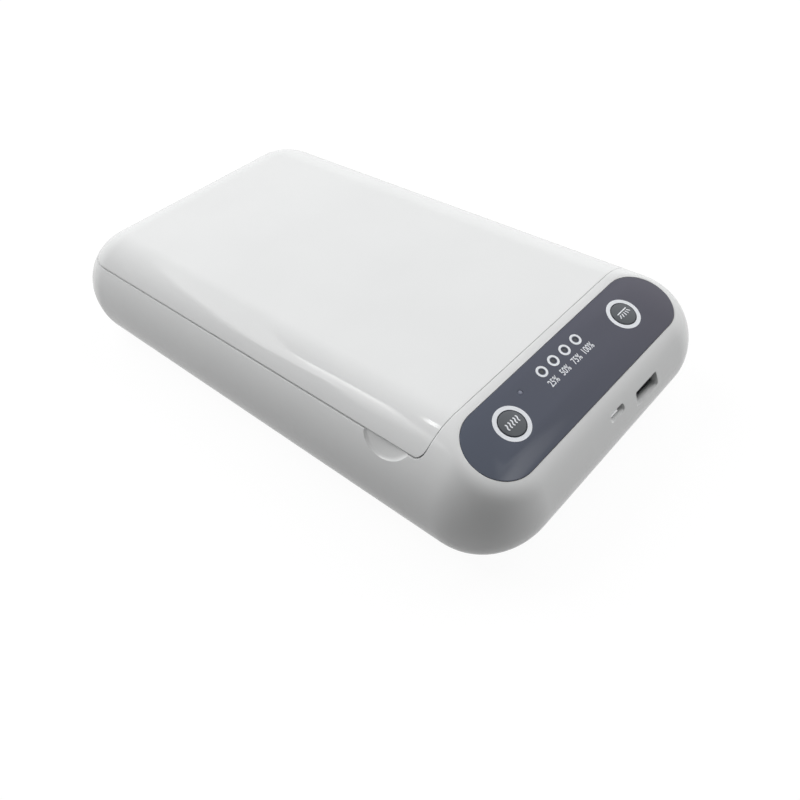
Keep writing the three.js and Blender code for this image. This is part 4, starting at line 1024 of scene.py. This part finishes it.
def printed_ring(name, place, inner, outer):
    """Flat ring, its radii in metres: a thin rectangle is carried round a circle."""
    high = INK_LEVEL + INK_THICKNESS
    loops = ((outer, INK_LEVEL), (outer, high), (inner, high), (inner, INK_LEVEL))
    rings = stacked([circle(r * 1000, 96) + place for r, _ in loops], [z for _, z in loops])
    piece(name, on_deck(skin(rings, ringed=True)), "case", "ink")


def printed_text(name, words, x, height):
    """Generic numbers as a thin mesh that lies on the panel."""
    curve = bpy.data.curves.new(name, "FONT")
    curve.body = words
    curve.align_x = curve.align_y = "CENTER"
    curve.size = height / DIGIT_SHARE
    curve.offset = 0.035
    curve.extrude = INK_THICKNESS / 2
    curve.resolution_u = 6
    source = linked(name + "_source", curve)
    mesh = shown_mesh(source)
    bpy.data.objects.remove(source)
    bpy.data.curves.remove(curve)
    mesh.transform(DECK_PLACE @ Matrix.Translation((x, NUMBER_Y, INK_LEVEL + INK_THICKNESS / 2))
                   @ Matrix.Diagonal((NUMBER_SQUEEZE, 1, 1, 1)))
    finish_piece(linked(name, mesh), "case", "ink")


def control_panel():
    """The smoked slab with its holes, and the rings and numbers printed on it."""
    settings = bpy.context.scene.uvbox_panel
    panel = raw_object("key_panel", slab(panel_outline, -PANEL_THICKNESS, 0, PANEL_EDGE))
    carve(panel, "DIFFERENCE", rods(KEY_HOLE, -3, 1, KEYS, 96) + rods(LENS_HOLE, -3, 1, LENSES))
    panel.data.transform(DECK_PLACE)
    finish_piece(panel, "case", "panel", "control_panel", angle=40)
    for label, place in zip(("left", "right"), KEYS):
        printed_ring(f"key_ring_{label}", place, settings.ring_inner, settings.ring_outer)
    for i, x in enumerate(LENS_X):
        printed_ring(f"gauge_ring_{i + 1}", (x, LAMP_ROW), settings.dot_inner, settings.dot_outer)
    for i, (words, x) in enumerate(zip(("25%", "50%", "75%", "100%"), LENS_X)):
        printed_text(f"gauge_number_{i + 1}", words, x + NUMBER_SPREAD * i, settings.number_height * 1000)


def vapour_sign():
    """Five waves that rise side by side: each is a sine along the height."""
    t = np.linspace(-1, 1, 25)
    return [np.column_stack([x + 0.26 * np.sin(t * np.pi), 1.05 * t]) for x in (-2.4, -1.2, 0.0, 1.2, 2.4)]


def rays_sign():
    """A lamp tube with rays under it: a level bar and short strokes that fan out from it."""
    strokes = [np.column_stack([np.linspace(-2.5, 2.5, 25), np.full(25, 0.95)])]
    for lean in (-0.7, -0.35, 0.0, 0.35, 0.7):
        start = np.array([lean * 2.6, 0.3])
        ray = np.array([math.sin(lean), -math.cos(lean)]) * 1.4
        strokes.append(start + np.linspace(0, 1, 11)[:, None] * ray)
    return strokes


def key_crown(reach):
    """Height of a key's face over the panel, at a distance from its middle: a shallow parabola, lowest at the rim."""
    return KEY_TOP - KEY_CROWN * (reach / KEY_RADIUS) ** 2


def keys():
    """Each key: a crowned cap with a soft rim, a flange under the panel and a stem over its switch."""
    face = np.linspace(KEY_RADIUS - KEY_RIM, 0, 14)
    rim_top = key_crown(face[0])
    flange, flange_foot = KEY_FLANGE
    stem, stem_foot = KEY_STEM
    profile = np.vstack([
        [(0, stem_foot), (stem, stem_foot), (stem, flange_foot), (flange, flange_foot), (flange, SHOULDER),
         (KEY_RADIUS, SHOULDER)],
        quarter((KEY_RADIUS, rim_top - KEY_RIM), (face[0], rim_top)),
        np.column_stack([face, key_crown(face)])[1:]])
    for purpose, place, strokes, width in (
            ("aroma", KEYS[0], vapour_sign(), 0.42), ("uv", KEYS[1], rays_sign(), 0.4)):
        body = f"{purpose}_key"
        piece(f"{purpose}_cap", on_deck(shifted(turned(profile, 96), *place)), body, "key", f"{purpose}_button")
        sign = bundle([ribbon(s, width, lambda p: key_crown(np.linalg.norm(p, axis=1)) + INK_LEVEL) for s in strokes])
        piece(f"{purpose}_sign", on_deck(shifted(sign, *place)), body, "ink")


def lenses():
    """Smoked light guides with slightly domed tips, flush in the panel."""
    foot = KEY_BOARD_TOP + 1
    profile = [(0, foot), (LENS_FLANGE, foot), (LENS_FLANGE, SHOULDER), (LENS_RADIUS, SHOULDER),
               (LENS_RADIUS, -0.15), (LENS_RADIUS - 0.2, 0.0), (0.3, 0.02), (0.0, 0.03)]
    names = [f"gauge_lens_{i}" for i in (1, 2, 3, 4)] + ["status_lens"]
    for name, place in zip(names, LENSES):
        piece(f"{name}_guide", on_deck(shifted(turned(profile, 40), *place)), "case",
              "frost" if name == "status_lens" else "lens", name)


# Sockets

def sleeve(x, z, width, height, radius, wall, mouth, depth):
    """Drawn sheet round a socket: a wall's section carried round a rounded rectangle, its mouth rolled a little."""
    section = ((mouth + depth, 0.0), (mouth + 0.12, 0.0), (mouth, -0.1), (mouth, -wall + 0.1), (mouth + 0.12, -wall),
               (mouth + depth, -wall))
    outlines = [centred(width / 2, height / 2, radius, grow, steps=8) for _, grow in section]
    return skin(along_y(outlines, [y for y, _ in section], x, z), ringed=True)


def insert(name, x, z, boxes, node):
    """Block that closes the rear of a socket, with the tongue that carries its contacts."""
    block, tongue = (box_form(x - half, x + half, y0, y1, z + low, z + high) for half, y0, y1, low, high in boxes)
    finish_piece(carve(raw_object(name, block), "UNION", [tongue]), "case", "black", node)


def sockets():
    """Two sleeves behind their holes, each with its insert. The large one shows its contacts under the tongue, and a
    bright lip slopes up behind the left part of the small hole."""
    x, z = LARGE_SLEEVE[:2]
    piece("charging_socket_sleeve", sleeve(*LARGE_SLEEVE, *LARGE_SHEET), "case", "steel", "usb_a_shell")
    insert("charging_socket_tongue", x, z, LARGE_INSERT, "usb_a_insert")
    contacts = [box_form(x + c - 0.5, x + c + 0.5, -104.6, -100.5, z + 0.12, z + 0.19) for c in CONTACT_X]
    piece("charging_socket_contacts", bundle(contacts), "case", "steel")
    x, z = SMALL_SLEEVE[:2]
    small = raw_object("inlet_socket_sleeve", sleeve(*SMALL_SLEEVE, *SMALL_SHEET))
    carve(small, "UNION", [bar_across(BRIGHT_LIP, x - 3.0, x + 1.6)])
    finish_piece(small, "case", "tin", "micro_usb_shell")
    insert("inlet_socket_tongue", x, z, SMALL_INSERT, "micro_usb_insert")


# Phone well

def well_tray():
    """The tray is one skin: its outside runs up to the flange, over it and down the inside to the floor, with quarter
    circles where two walls meet."""
    top, under, shelf, base = PARTING, PARTING - FLANGE_THICKNESS, LEDGE - TRAY_WALL, WELL_FLOOR - TRAY_WALL
    runs = (
        (pit_outline, [(-1.0, base), (TRAY_WALL, base + 1.8), (TRAY_WALL, shelf)]),
        (well_outline, [(TRAY_WALL - 1, shelf), (TRAY_WALL, shelf + 1), (TRAY_WALL, under), (FLANGE - 0.2, under),
                        (FLANGE, under + 0.2), (FLANGE, top - 0.2), (FLANGE - 0.2, top)]),
        (well_outline, quarter((0.0, top - 0.7), (0.7, top), 4)[::-1]),
        (well_outline, quarter((0.0, LEDGE + 1.0), (-1.0, LEDGE), 4)),
        (pit_outline, [(0.4, LEDGE), (0.0, LEDGE - 0.4)]),
        (pit_outline, quarter((0.0, WELL_FLOOR + 1.5), (-1.5, WELL_FLOOR), 4)))
    tray = skin(np.stack([raised(outline(grow), z) for outline, run in runs for grow, z in run]))
    piece("well_tray", tray, "case", "inner", "chamber_tray")


def phone_grille():
    """Rounded plate with two columns of windows behind the scent cup's hole."""
    rest = raw_object("phone_grille", slab(lambda g: well_outline(g - REST_PLAY), REST_LEVEL, REST_TOP, 0.5))
    x0, y0 = -WELL_HALF_WIDTH + 8, CUP_PLACE[1] + CUP_RADIUS + 5
    wide = (REST_BAR - 2 * x0) / 2
    deep = (WELL_MIDDLE + WELL_HALF_LENGTH - 8 - y0 + REST_BAR) / REST_ROWS
    low, high = REST_LEVEL - 1, REST_TOP + 1
    windows = [
        prism(rounded_outline(x, x + wide - REST_BAR, y, y + deep - REST_BAR, 2.0, steps=5), low, high)
        for x in (x0, x0 + wide) for y in (y0 + row * deep for row in range(REST_ROWS))]
    carve(rest, "DIFFERENCE", windows + rods(CUP_RADIUS + 0.4, low, high, [CUP_PLACE], 64))
    finish_piece(rest, "case", "inner", "phone_rest")


def scent_cup():
    """Turned cup with a rolled lip, and the domed felt pad in it."""
    r, z0, z1 = CUP_RADIUS, WELL_FLOOR + FIT, REST_TOP
    cup = [(0, z0), (r - 0.8, z0), (r, z0 + 0.8), (r, z1 - 0.3), (r - 0.3, z1), (r - 0.7, z1), (r - 1, z1 - 0.3),
           (r - 1, z0 + 1.4), (r - 1.2, z0 + 1.2), (0, z0 + 1.2)]
    piece("scent_cup", shifted(turned(cup, 72), *CUP_PLACE), "case", "inner", "aroma_cup")
    r, z0 = CUP_RADIUS - 1.3, WELL_FLOOR + 1.8
    pad = np.vstack([[(0, z0), (r - 0.5, z0), (r, z0 + 0.5)], quarter((r, z0 + 3), (r - 1, z0 + 4)), [(0, z0 + 4)]])
    piece("scent_pad", shifted(turned(pad, 64), *CUP_PLACE), "case", "felt", "aroma_pad")


# Lamps

def lamp_path(z):
    """Two legs along Y joined by a half circle."""
    r = LAMP_PITCH / 2
    t = np.linspace(0, np.pi, 25)
    legs = np.linspace(LAMP_FRONT, LAMP_BEND, 12)[:-1]
    bend = np.column_stack([r * np.cos(t), LAMP_BEND + r * np.sin(t)])
    right = np.column_stack([np.full(len(legs), r), legs])
    return raised(np.vstack([right, bend, right[::-1] * (-1, 1)]), z)


def lamp_bore(x, y0, y1, z):
    """Hole along Y for one leg of a lamp."""
    return skin(along_y([circle(LAMP_RADIUS + FIT)] * 2, [y0, y1], x, z))


def lamp_holder(name, z, z0, z1, body, node):
    """Block in which both legs of a lamp stand."""
    holder = raw_object(name, slab(lambda g: centred(*HOLDER, g, LAMP_FRONT + 1, 6), z0, z1, 0.3))
    carve(holder, "DIFFERENCE", [lamp_bore(x, LAMP_FRONT - FIT, LAMP_FRONT + 8, z) for x in LAMP_LEGS])
    finish_piece(holder, body, "black", node)


def lamp_clip(name, z, z0, z1, body, node):
    """Saddle near the bend that both legs snap into. Its mouths open on the side where it reaches least past them."""
    clip = raw_object(name, slab(lambda g: centred(*CLIP, g, CLIP_Y, 5), z0, z1, 0.2))
    low, high = (z, z1 + 2) if z1 - z < z - z0 else (z0 - 2, z)
    cutters = []
    for x in LAMP_LEGS:
        cutters += [lamp_bore(x, CLIP_Y - 4, CLIP_Y + 4, z),
                    box_form(x - CLIP_MOUTH, x + CLIP_MOUTH, CLIP_Y - 4, CLIP_Y + 4, low, high)]
    carve(clip, "DIFFERENCE", cutters)
    finish_piece(clip, body, "inner", node)


def lamps():
    """One bent tube in the well and one in the lid, each with its holder and its saddle."""
    low, high = LOWER_LAMP_Z, UPPER_LAMP_Z
    for level, z, body in (("lower", low, "case"), ("upper", high, "lid")):
        piece(f"{level}_lamp_tube", swept(lamp_path(z), LAMP_RADIUS - 0.02, 32), body, "quartz", f"{level}_uv_lamp")
    floor, roof = WELL_FLOOR + FIT, TROUGH_TOP - 1 - FIT
    lamp_holder("lower_lamp_holder", low, floor, LEDGE, "case", "lower_lamp_socket")
    lamp_clip("lower_lamp_saddle", low, floor, low + CLIP_LIP, "case", "lower_lamp_clip")
    lamp_holder("upper_lamp_holder", high, high - 2.8, roof, "lid", "upper_lamp_socket")
    lamp_clip("upper_lamp_saddle", high, high - CLIP_LIP, roof, "lid", "upper_lamp_clip")


# Lid lining

def lid_lining():
    """Plate with a lip that reaches into the well, a trough over the lamp and two magnet pots."""
    front = LID_FRONT + SEAM + LID_WALL + FIT
    plate = rounded_outline(-LINER_HALF_WIDTH, LINER_HALF_WIDTH, front, LINER_REAR, 3, 10)
    inside, outside = (centred(*TROUGH, wall, TROUGH_MIDDLE, 8) for wall in (0, 1))
    liner = raw_object("lid_lining", prism(plate, LINER_LEVEL, LINER_TOP))
    carve(liner, "UNION", [
        prism(outside, LINER_LEVEL, TROUGH_TOP),
        slab(lambda g: well_outline(g - REST_PLAY), PARTING - 2, LINER_LEVEL + 0.3, 0.25)])
    carve(liner, "DIFFERENCE", [prism(well_outline(-1.8), 0, LINER_LEVEL), prism(inside, 0, TROUGH_TOP - 1)])
    carve(liner, "UNION", rods(POT_RADIUS, LINER_TOP - 0.3, LINER_TOP + 1.4, LID_MAGNETS))
    carve(liner, "DIFFERENCE", rods(LID_SCREW_HOLE, 0, FAR, LID_SCREWS, 24)
          + rods(MAGNET_RADIUS + FIT, LINER_TOP, FAR, LID_MAGNETS))
    finish_piece(liner, "lid", "inner", "lid_liner")


# Underside and screws

def screw(name, sizes, place, body, node):
    """Pan-head screw with a cross recess: the head's section is a quarter ellipse."""
    head, height, shank, length = sizes
    dome = quarter((head, 0.0), (0.0, -height), 6)[::-1]
    made = raw_object(name, turned(np.vstack([dome, [(shank, 0.0), (shank, length), (0.0, length)]]), 40))
    arm, slit, low, high = head * 0.55, head * 0.16, -height - 1, -height * 0.4
    carve(made, "DIFFERENCE", [
        box_form(-arm, arm, -slit, slit, low, high), box_form(-slit, slit, -arm, arm, low, high)])
    made.data.transform(Matrix.Translation(place))
    finish_piece(made, body, "zinc", node)


def underside():
    """Base cover with its screw tubes, board posts and foot recesses, and the four feet."""
    cover = raw_object("base_cover", slab(cover_outline, UNDERSIDE, COVER_TOP, 0.3))
    carve(cover, "UNION", (
        rods(TUBE_RADIUS, UNDERSIDE + 0.5, CASE_FLOOR + 0.5, BOSSES)
        + rods(TALL_POST_RADIUS, COVER_TOP - 0.2, TALL_POST_TOP, TALL_POSTS)
        + rods(LOW_POST_RADIUS, COVER_TOP - 0.2, LOW_POST_TOP, LOW_POSTS, 24)))
    carve(cover, "DIFFERENCE", (
        rods(BOSS_RADIUS, 0, SCREW_HEAD_SEAT, BOSSES, 64) + rods(BOSS_BORE, 0, CASE_FLOOR + 1, BOSSES, 24)
        + rods(FOOT_RADIUS + FIT, 0, UNDERSIDE + 0.9, FEET, 72)
        + rods(TALL_POST_BORE, 13.1, TALL_POST_TOP + 1.9, TALL_POSTS, 24)))
    finish_piece(cover, "case", "inner", "bottom_cover")
    r, top = FOOT_RADIUS, UNDERSIDE + 0.6
    rim = quarter((r, FOOT_ROUND), (r - FOOT_ROUND, 0))[::-1]
    foot = turned(np.vstack([[(0, 0)], rim, [(r, top), (0, top)]]), 72)
    for name, place in zip(CORNER_NAMES, FEET):
        piece(f"rubber_foot_{name}", shifted(foot, *place), "case", "rubber", f"foot_{name}")


def screws():
    """The cover's four screws and the lining's four smaller ones."""
    for name, place in zip(CORNER_NAMES, BOSSES):
        screw(f"base_screw_{name}", COVER_SCREW, (*place, SCREW_HEAD_SEAT - FIT), "case", f"cover_screw_{name}")
    for name, place in zip(CORNER_NAMES, LID_SCREWS):
        screw(f"lining_screw_{name}", LINING_SCREW, (*place, LINER_LEVEL - FIT), "lid", f"lid_screw_{name}")


# Pieces inside the case that keep their CAD form

INNER_FINISHES = {
    "board": ("main_board", "key_board", "driver_board"),
    "black": ("uv_switch", "aroma_switch", "lid_sensor", "driver_capacitor"),
    "ferrite": ("driver_transformer",),
    "steel": ("case_magnet_left", "case_magnet_right", "lid_magnet_left", "lid_magnet_right",
              "hinge_pin_left", "hinge_pin_right"),
    "zinc": ("key_board_screw_left", "key_board_screw_right", "board_screw_left", "board_screw_right"),
}


def inner_pieces():
    """Gives each of them its finish."""
    for key, names in INNER_FINISHES.items():
        for name in names:
            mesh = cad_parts[name].data
            mesh.materials.clear()
            mesh.materials.append(finish(key))


# Stage

def camera():
    """The camera of the photograph: its axes are the picture's right, up and backward directions."""
    right, down, ahead = (Vector(axis) for axis in CAMERA_AXES)
    data = bpy.data.cameras.new("picture_camera")
    data.sensor_width = SENSOR
    data.lens = bpy.context.scene.uvbox_stage.focal_length
    data.shift_x, data.shift_y = CAMERA_SHIFT
    data.clip_start = 0.01
    data.clip_end = 20
    made = linked("picture_camera", data)
    made.matrix_world = Matrix.Translation(CAMERA_PLACE) @ Matrix((right, -down, -ahead)).transposed().to_4x4()
    bpy.context.scene.camera = made


def area_lamp(name, place, target, size, power, in_gloss):
    """Lamp that looks from its place at a target, and either lights the object or only shows in its gloss."""
    data = bpy.data.lights.new(name, "AREA")
    data.shape = "RECTANGLE"
    data.size, data.size_y = size
    data.energy = power
    made = linked(name, data)
    place, target = Vector(place), Vector(target)
    made.matrix_world = Matrix.Translation(place) @ (target - place).to_track_quat("-Z", "Y").to_matrix().to_4x4()
    made.visible_glossy = in_gloss
    made.visible_diffuse = not in_gloss


def white_where_seen(tree, kind, white, mirrored, plain, shadowed=None):
    """Mixes a plain surface with a white glow for rays from the camera, from gloss and through glass. Gloss and glass
    see it a little duller than the camera does."""
    path = add_node(tree, "ShaderNodeLightPath").outputs
    strength = add_node(tree, "ShaderNodeMath", {
        0: path["Is Camera Ray"], 1: white - mirrored, 2: mirrored}, operation="MULTIPLY_ADD")
    glow = add_node(tree, kind, {"Color": (1, 1, 1, 1), "Strength": strength.outputs["Value"]}).outputs[0]
    if shadowed:
        glow = add_node(tree, "ShaderNodeAddShader", {0: shadowed, 1: glow}).outputs["Shader"]
    either = path["Is Camera Ray"]
    for ray in ("Is Glossy Ray", "Is Transmission Ray"):
        either = add_node(tree, "ShaderNodeMath", {0: either, 1: path[ray]}, operation="MAXIMUM").outputs["Value"]
    return add_node(tree, "ShaderNodeMixShader", {"Fac": either, 1: plain, 2: glow}).outputs["Shader"]


def world_light():
    """Faint even room light. The camera, gloss and glass see white."""
    world = bpy.data.worlds.new("room")
    bpy.context.scene.world = world
    world.use_nodes = True
    tree = world.node_tree
    tree.nodes.clear()
    room = add_node(tree, "ShaderNodeBackground", {
        "Color": (1, 1, 1, 1), "Strength": bpy.context.scene.uvbox_stage.sky})
    mixed = white_where_seen(tree, "ShaderNodeBackground", 1.0, 0.8, room.outputs["Background"])
    add_node(tree, "ShaderNodeOutputWorld", {"Surface": mixed})


def floor():
    """Wide level table top of matt paper: white where it is seen, with only a trace of the object's shadow."""
    half = 1500.0
    corners = np.array([(-half, -half), (half, -half), (half, half), (-half, half)])
    table = raw_object("table_top", (raised(corners, 0.0), [[0, 1, 2, 3]]))
    table.data.transform(Matrix.Scale(0.001, 4))
    material, tree, coords = blank_material("Paper backdrop, matt white")
    fibre = add_node(tree, "ShaderNodeTexNoise", {"Vector": coords, "Scale": PAPER_FIBRE, "Detail": 2.0})
    tone = add_node(tree, "ShaderNodeValToRGB", {"Fac": fibre.outputs["Fac"]}, (linear("7A7A7A"), linear("7E7E7E")))
    plain = add_node(tree, "ShaderNodeBsdfDiffuse", {"Color": tone.outputs["Color"]})
    shadowed = add_node(tree, "ShaderNodeBsdfDiffuse", {"Color": (0.07, 0.07, 0.07, 1)})
    mixed = white_where_seen(
        tree, "ShaderNodeEmission", 0.95, 0.7, plain.outputs["BSDF"], shadowed.outputs["BSDF"])
    add_node(tree, "ShaderNodeOutputMaterial", {"Surface": mixed})
    table.data.materials.append(material)


def stage():
    """Camera, room, lamps, cards and table top."""
    settings = bpy.context.scene.uvbox_stage
    bpy.context.scene.view_settings.view_transform = "Standard"
    camera()
    world_light()
    for name, direction, distance, size, power in FILL_LAMPS:
        place = MIDDLE + Vector(direction).normalized() * distance
        area_lamp(name, place, MIDDLE, (size, size), power * settings.fill, False)
    for name, edge, target, widths, lengths, strength in GLINT_CARDS:
        across = (Vector(edge) - Vector(target)).cross((0, 0, 1)).normalized()
        sheets = np.linspace((widths[0], lengths[0]), (widths[1], lengths[1]), CARD_SHEETS)
        for i, (width, length) in enumerate(sheets):
            place = Vector(edge) + across * (width / 2)
            power = LAMP_WATTS * abs(width) * length * strength / CARD_SHEETS * settings.glint
            area_lamp(f"{name}_{i + 1}", place, target, (abs(width), length), power, True)
    floor()


# Operators

class UVBOX_OT_stage(bpy.types.Operator):
    """Set up the camera, the lamps, the room and the table top"""

    bl_idname = "uvbox.stage"
    bl_label = "Stage"

    def execute(self, context):
        stage()
        return {"FINISHED"}


class UVBOX_OT_case(bpy.types.Operator):
    """Build the white case shell"""

    bl_idname = "uvbox.case"
    bl_label = "Case shell"

    def execute(self, context):
        case_shell()
        return {"FINISHED"}


class UVBOX_OT_lid(bpy.types.Operator):
    """Build the white lid shell with its hinge knuckles"""

    bl_idname = "uvbox.lid"
    bl_label = "Lid shell"

    def execute(self, context):
        lid_shell()
        return {"FINISHED"}


class UVBOX_OT_lining(bpy.types.Operator):
    """Build the lid's lining"""

    bl_idname = "uvbox.lining"
    bl_label = "Lid lining"

    def execute(self, context):
        lid_lining()
        return {"FINISHED"}


class UVBOX_OT_panel(bpy.types.Operator):
    """Build the smoked key panel with its printed rings and numbers"""

    bl_idname = "uvbox.panel"
    bl_label = "Key panel"

    def execute(self, context):
        control_panel()
        return {"FINISHED"}


class UVBOX_OT_keys(bpy.types.Operator):
    """Build the two keys and their signs"""

    bl_idname = "uvbox.keys"
    bl_label = "Keys"

    def execute(self, context):
        keys()
        return {"FINISHED"}


class UVBOX_OT_lenses(bpy.types.Operator):
    """Build the gauge lenses and the status lens"""

    bl_idname = "uvbox.lenses"
    bl_label = "Lenses"

    def execute(self, context):
        lenses()
        return {"FINISHED"}


class UVBOX_OT_sockets(bpy.types.Operator):
    """Build the two sockets in the front end"""

    bl_idname = "uvbox.sockets"
    bl_label = "Sockets"

    def execute(self, context):
        sockets()
        return {"FINISHED"}


class UVBOX_OT_well(bpy.types.Operator):
    """Build the phone well: tray, grille, scent cup and pad"""

    bl_idname = "uvbox.well"
    bl_label = "Phone well"

    def execute(self, context):
        well_tray()
        phone_grille()
        scent_cup()
        return {"FINISHED"}


class UVBOX_OT_lamps(bpy.types.Operator):
    """Build the two bent lamps with their holders and clips"""

    bl_idname = "uvbox.lamps"
    bl_label = "Lamps"

    def execute(self, context):
        lamps()
        return {"FINISHED"}


class UVBOX_OT_underside(bpy.types.Operator):
    """Build the base cover and the feet"""

    bl_idname = "uvbox.underside"
    bl_label = "Underside"

    def execute(self, context):
        underside()
        return {"FINISHED"}


class UVBOX_OT_screws(bpy.types.Operator):
    """Build the screws that can be seen"""

    bl_idname = "uvbox.screws"
    bl_label = "Screws"

    def execute(self, context):
        screws()
        return {"FINISHED"}


class UVBOX_OT_inner(bpy.types.Operator):
    """Give the boards, switches, magnets and pins their finishes"""

    bl_idname = "uvbox.inner"
    bl_label = "Inner pieces"

    def execute(self, context):
        inner_pieces()
        return {"FINISHED"}


OPERATORS = (
    UVBOX_OT_stage, UVBOX_OT_case, UVBOX_OT_lid, UVBOX_OT_lining, UVBOX_OT_panel, UVBOX_OT_keys, UVBOX_OT_lenses,
    UVBOX_OT_sockets, UVBOX_OT_well, UVBOX_OT_lamps, UVBOX_OT_underside, UVBOX_OT_screws, UVBOX_OT_inner)


class UVBOX_PT_sidebar(bpy.types.Panel):
    """Settings and build buttons of the sanitizer box"""

    bl_idname = "UVBOX_PT_sidebar"
    bl_label = "Sanitizer box"
    bl_space_type = "VIEW_3D"
    bl_region_type = "UI"
    bl_category = "Sanitizer box"

    def draw(self, context):
        for group in (context.scene.uvbox_shell, context.scene.uvbox_panel, context.scene.uvbox_stage):
            column = self.layout.column(align=True)
            for key in group.__annotations__:
                column.prop(group, key)
        column = self.layout.column(align=True)
        for operator in OPERATORS:
            column.operator(operator.bl_idname)


CLASSES = (ShellSettings, PanelSettings, StageSettings, *OPERATORS, UVBOX_PT_sidebar)


def register():
    """Makes the classes and the three groups of settings known."""
    for cls in CLASSES:
        bpy.utils.register_class(cls)
    bpy.types.Scene.uvbox_shell = bpy.props.PointerProperty(type=ShellSettings)
    bpy.types.Scene.uvbox_panel = bpy.props.PointerProperty(type=PanelSettings)
    bpy.types.Scene.uvbox_stage = bpy.props.PointerProperty(type=StageSettings)


def unregister():
    """Takes them away in the opposite order."""
    del bpy.types.Scene.uvbox_stage
    del bpy.types.Scene.uvbox_panel
    del bpy.types.Scene.uvbox_shell
    for cls in reversed(CLASSES):
        bpy.utils.unregister_class(cls)


def main():
    """Builds the stage and every piece."""
    register()
    bpy.ops.uvbox.stage()
    bpy.ops.uvbox.case()
    bpy.ops.uvbox.lid()
    bpy.ops.uvbox.lining()
    bpy.ops.uvbox.panel()
    bpy.ops.uvbox.keys()
    bpy.ops.uvbox.lenses()
    bpy.ops.uvbox.sockets()
    bpy.ops.uvbox.well()
    bpy.ops.uvbox.lamps()
    bpy.ops.uvbox.underside()
    bpy.ops.uvbox.screws()
    bpy.ops.uvbox.inner()


if __name__ == "__main__":
    main()
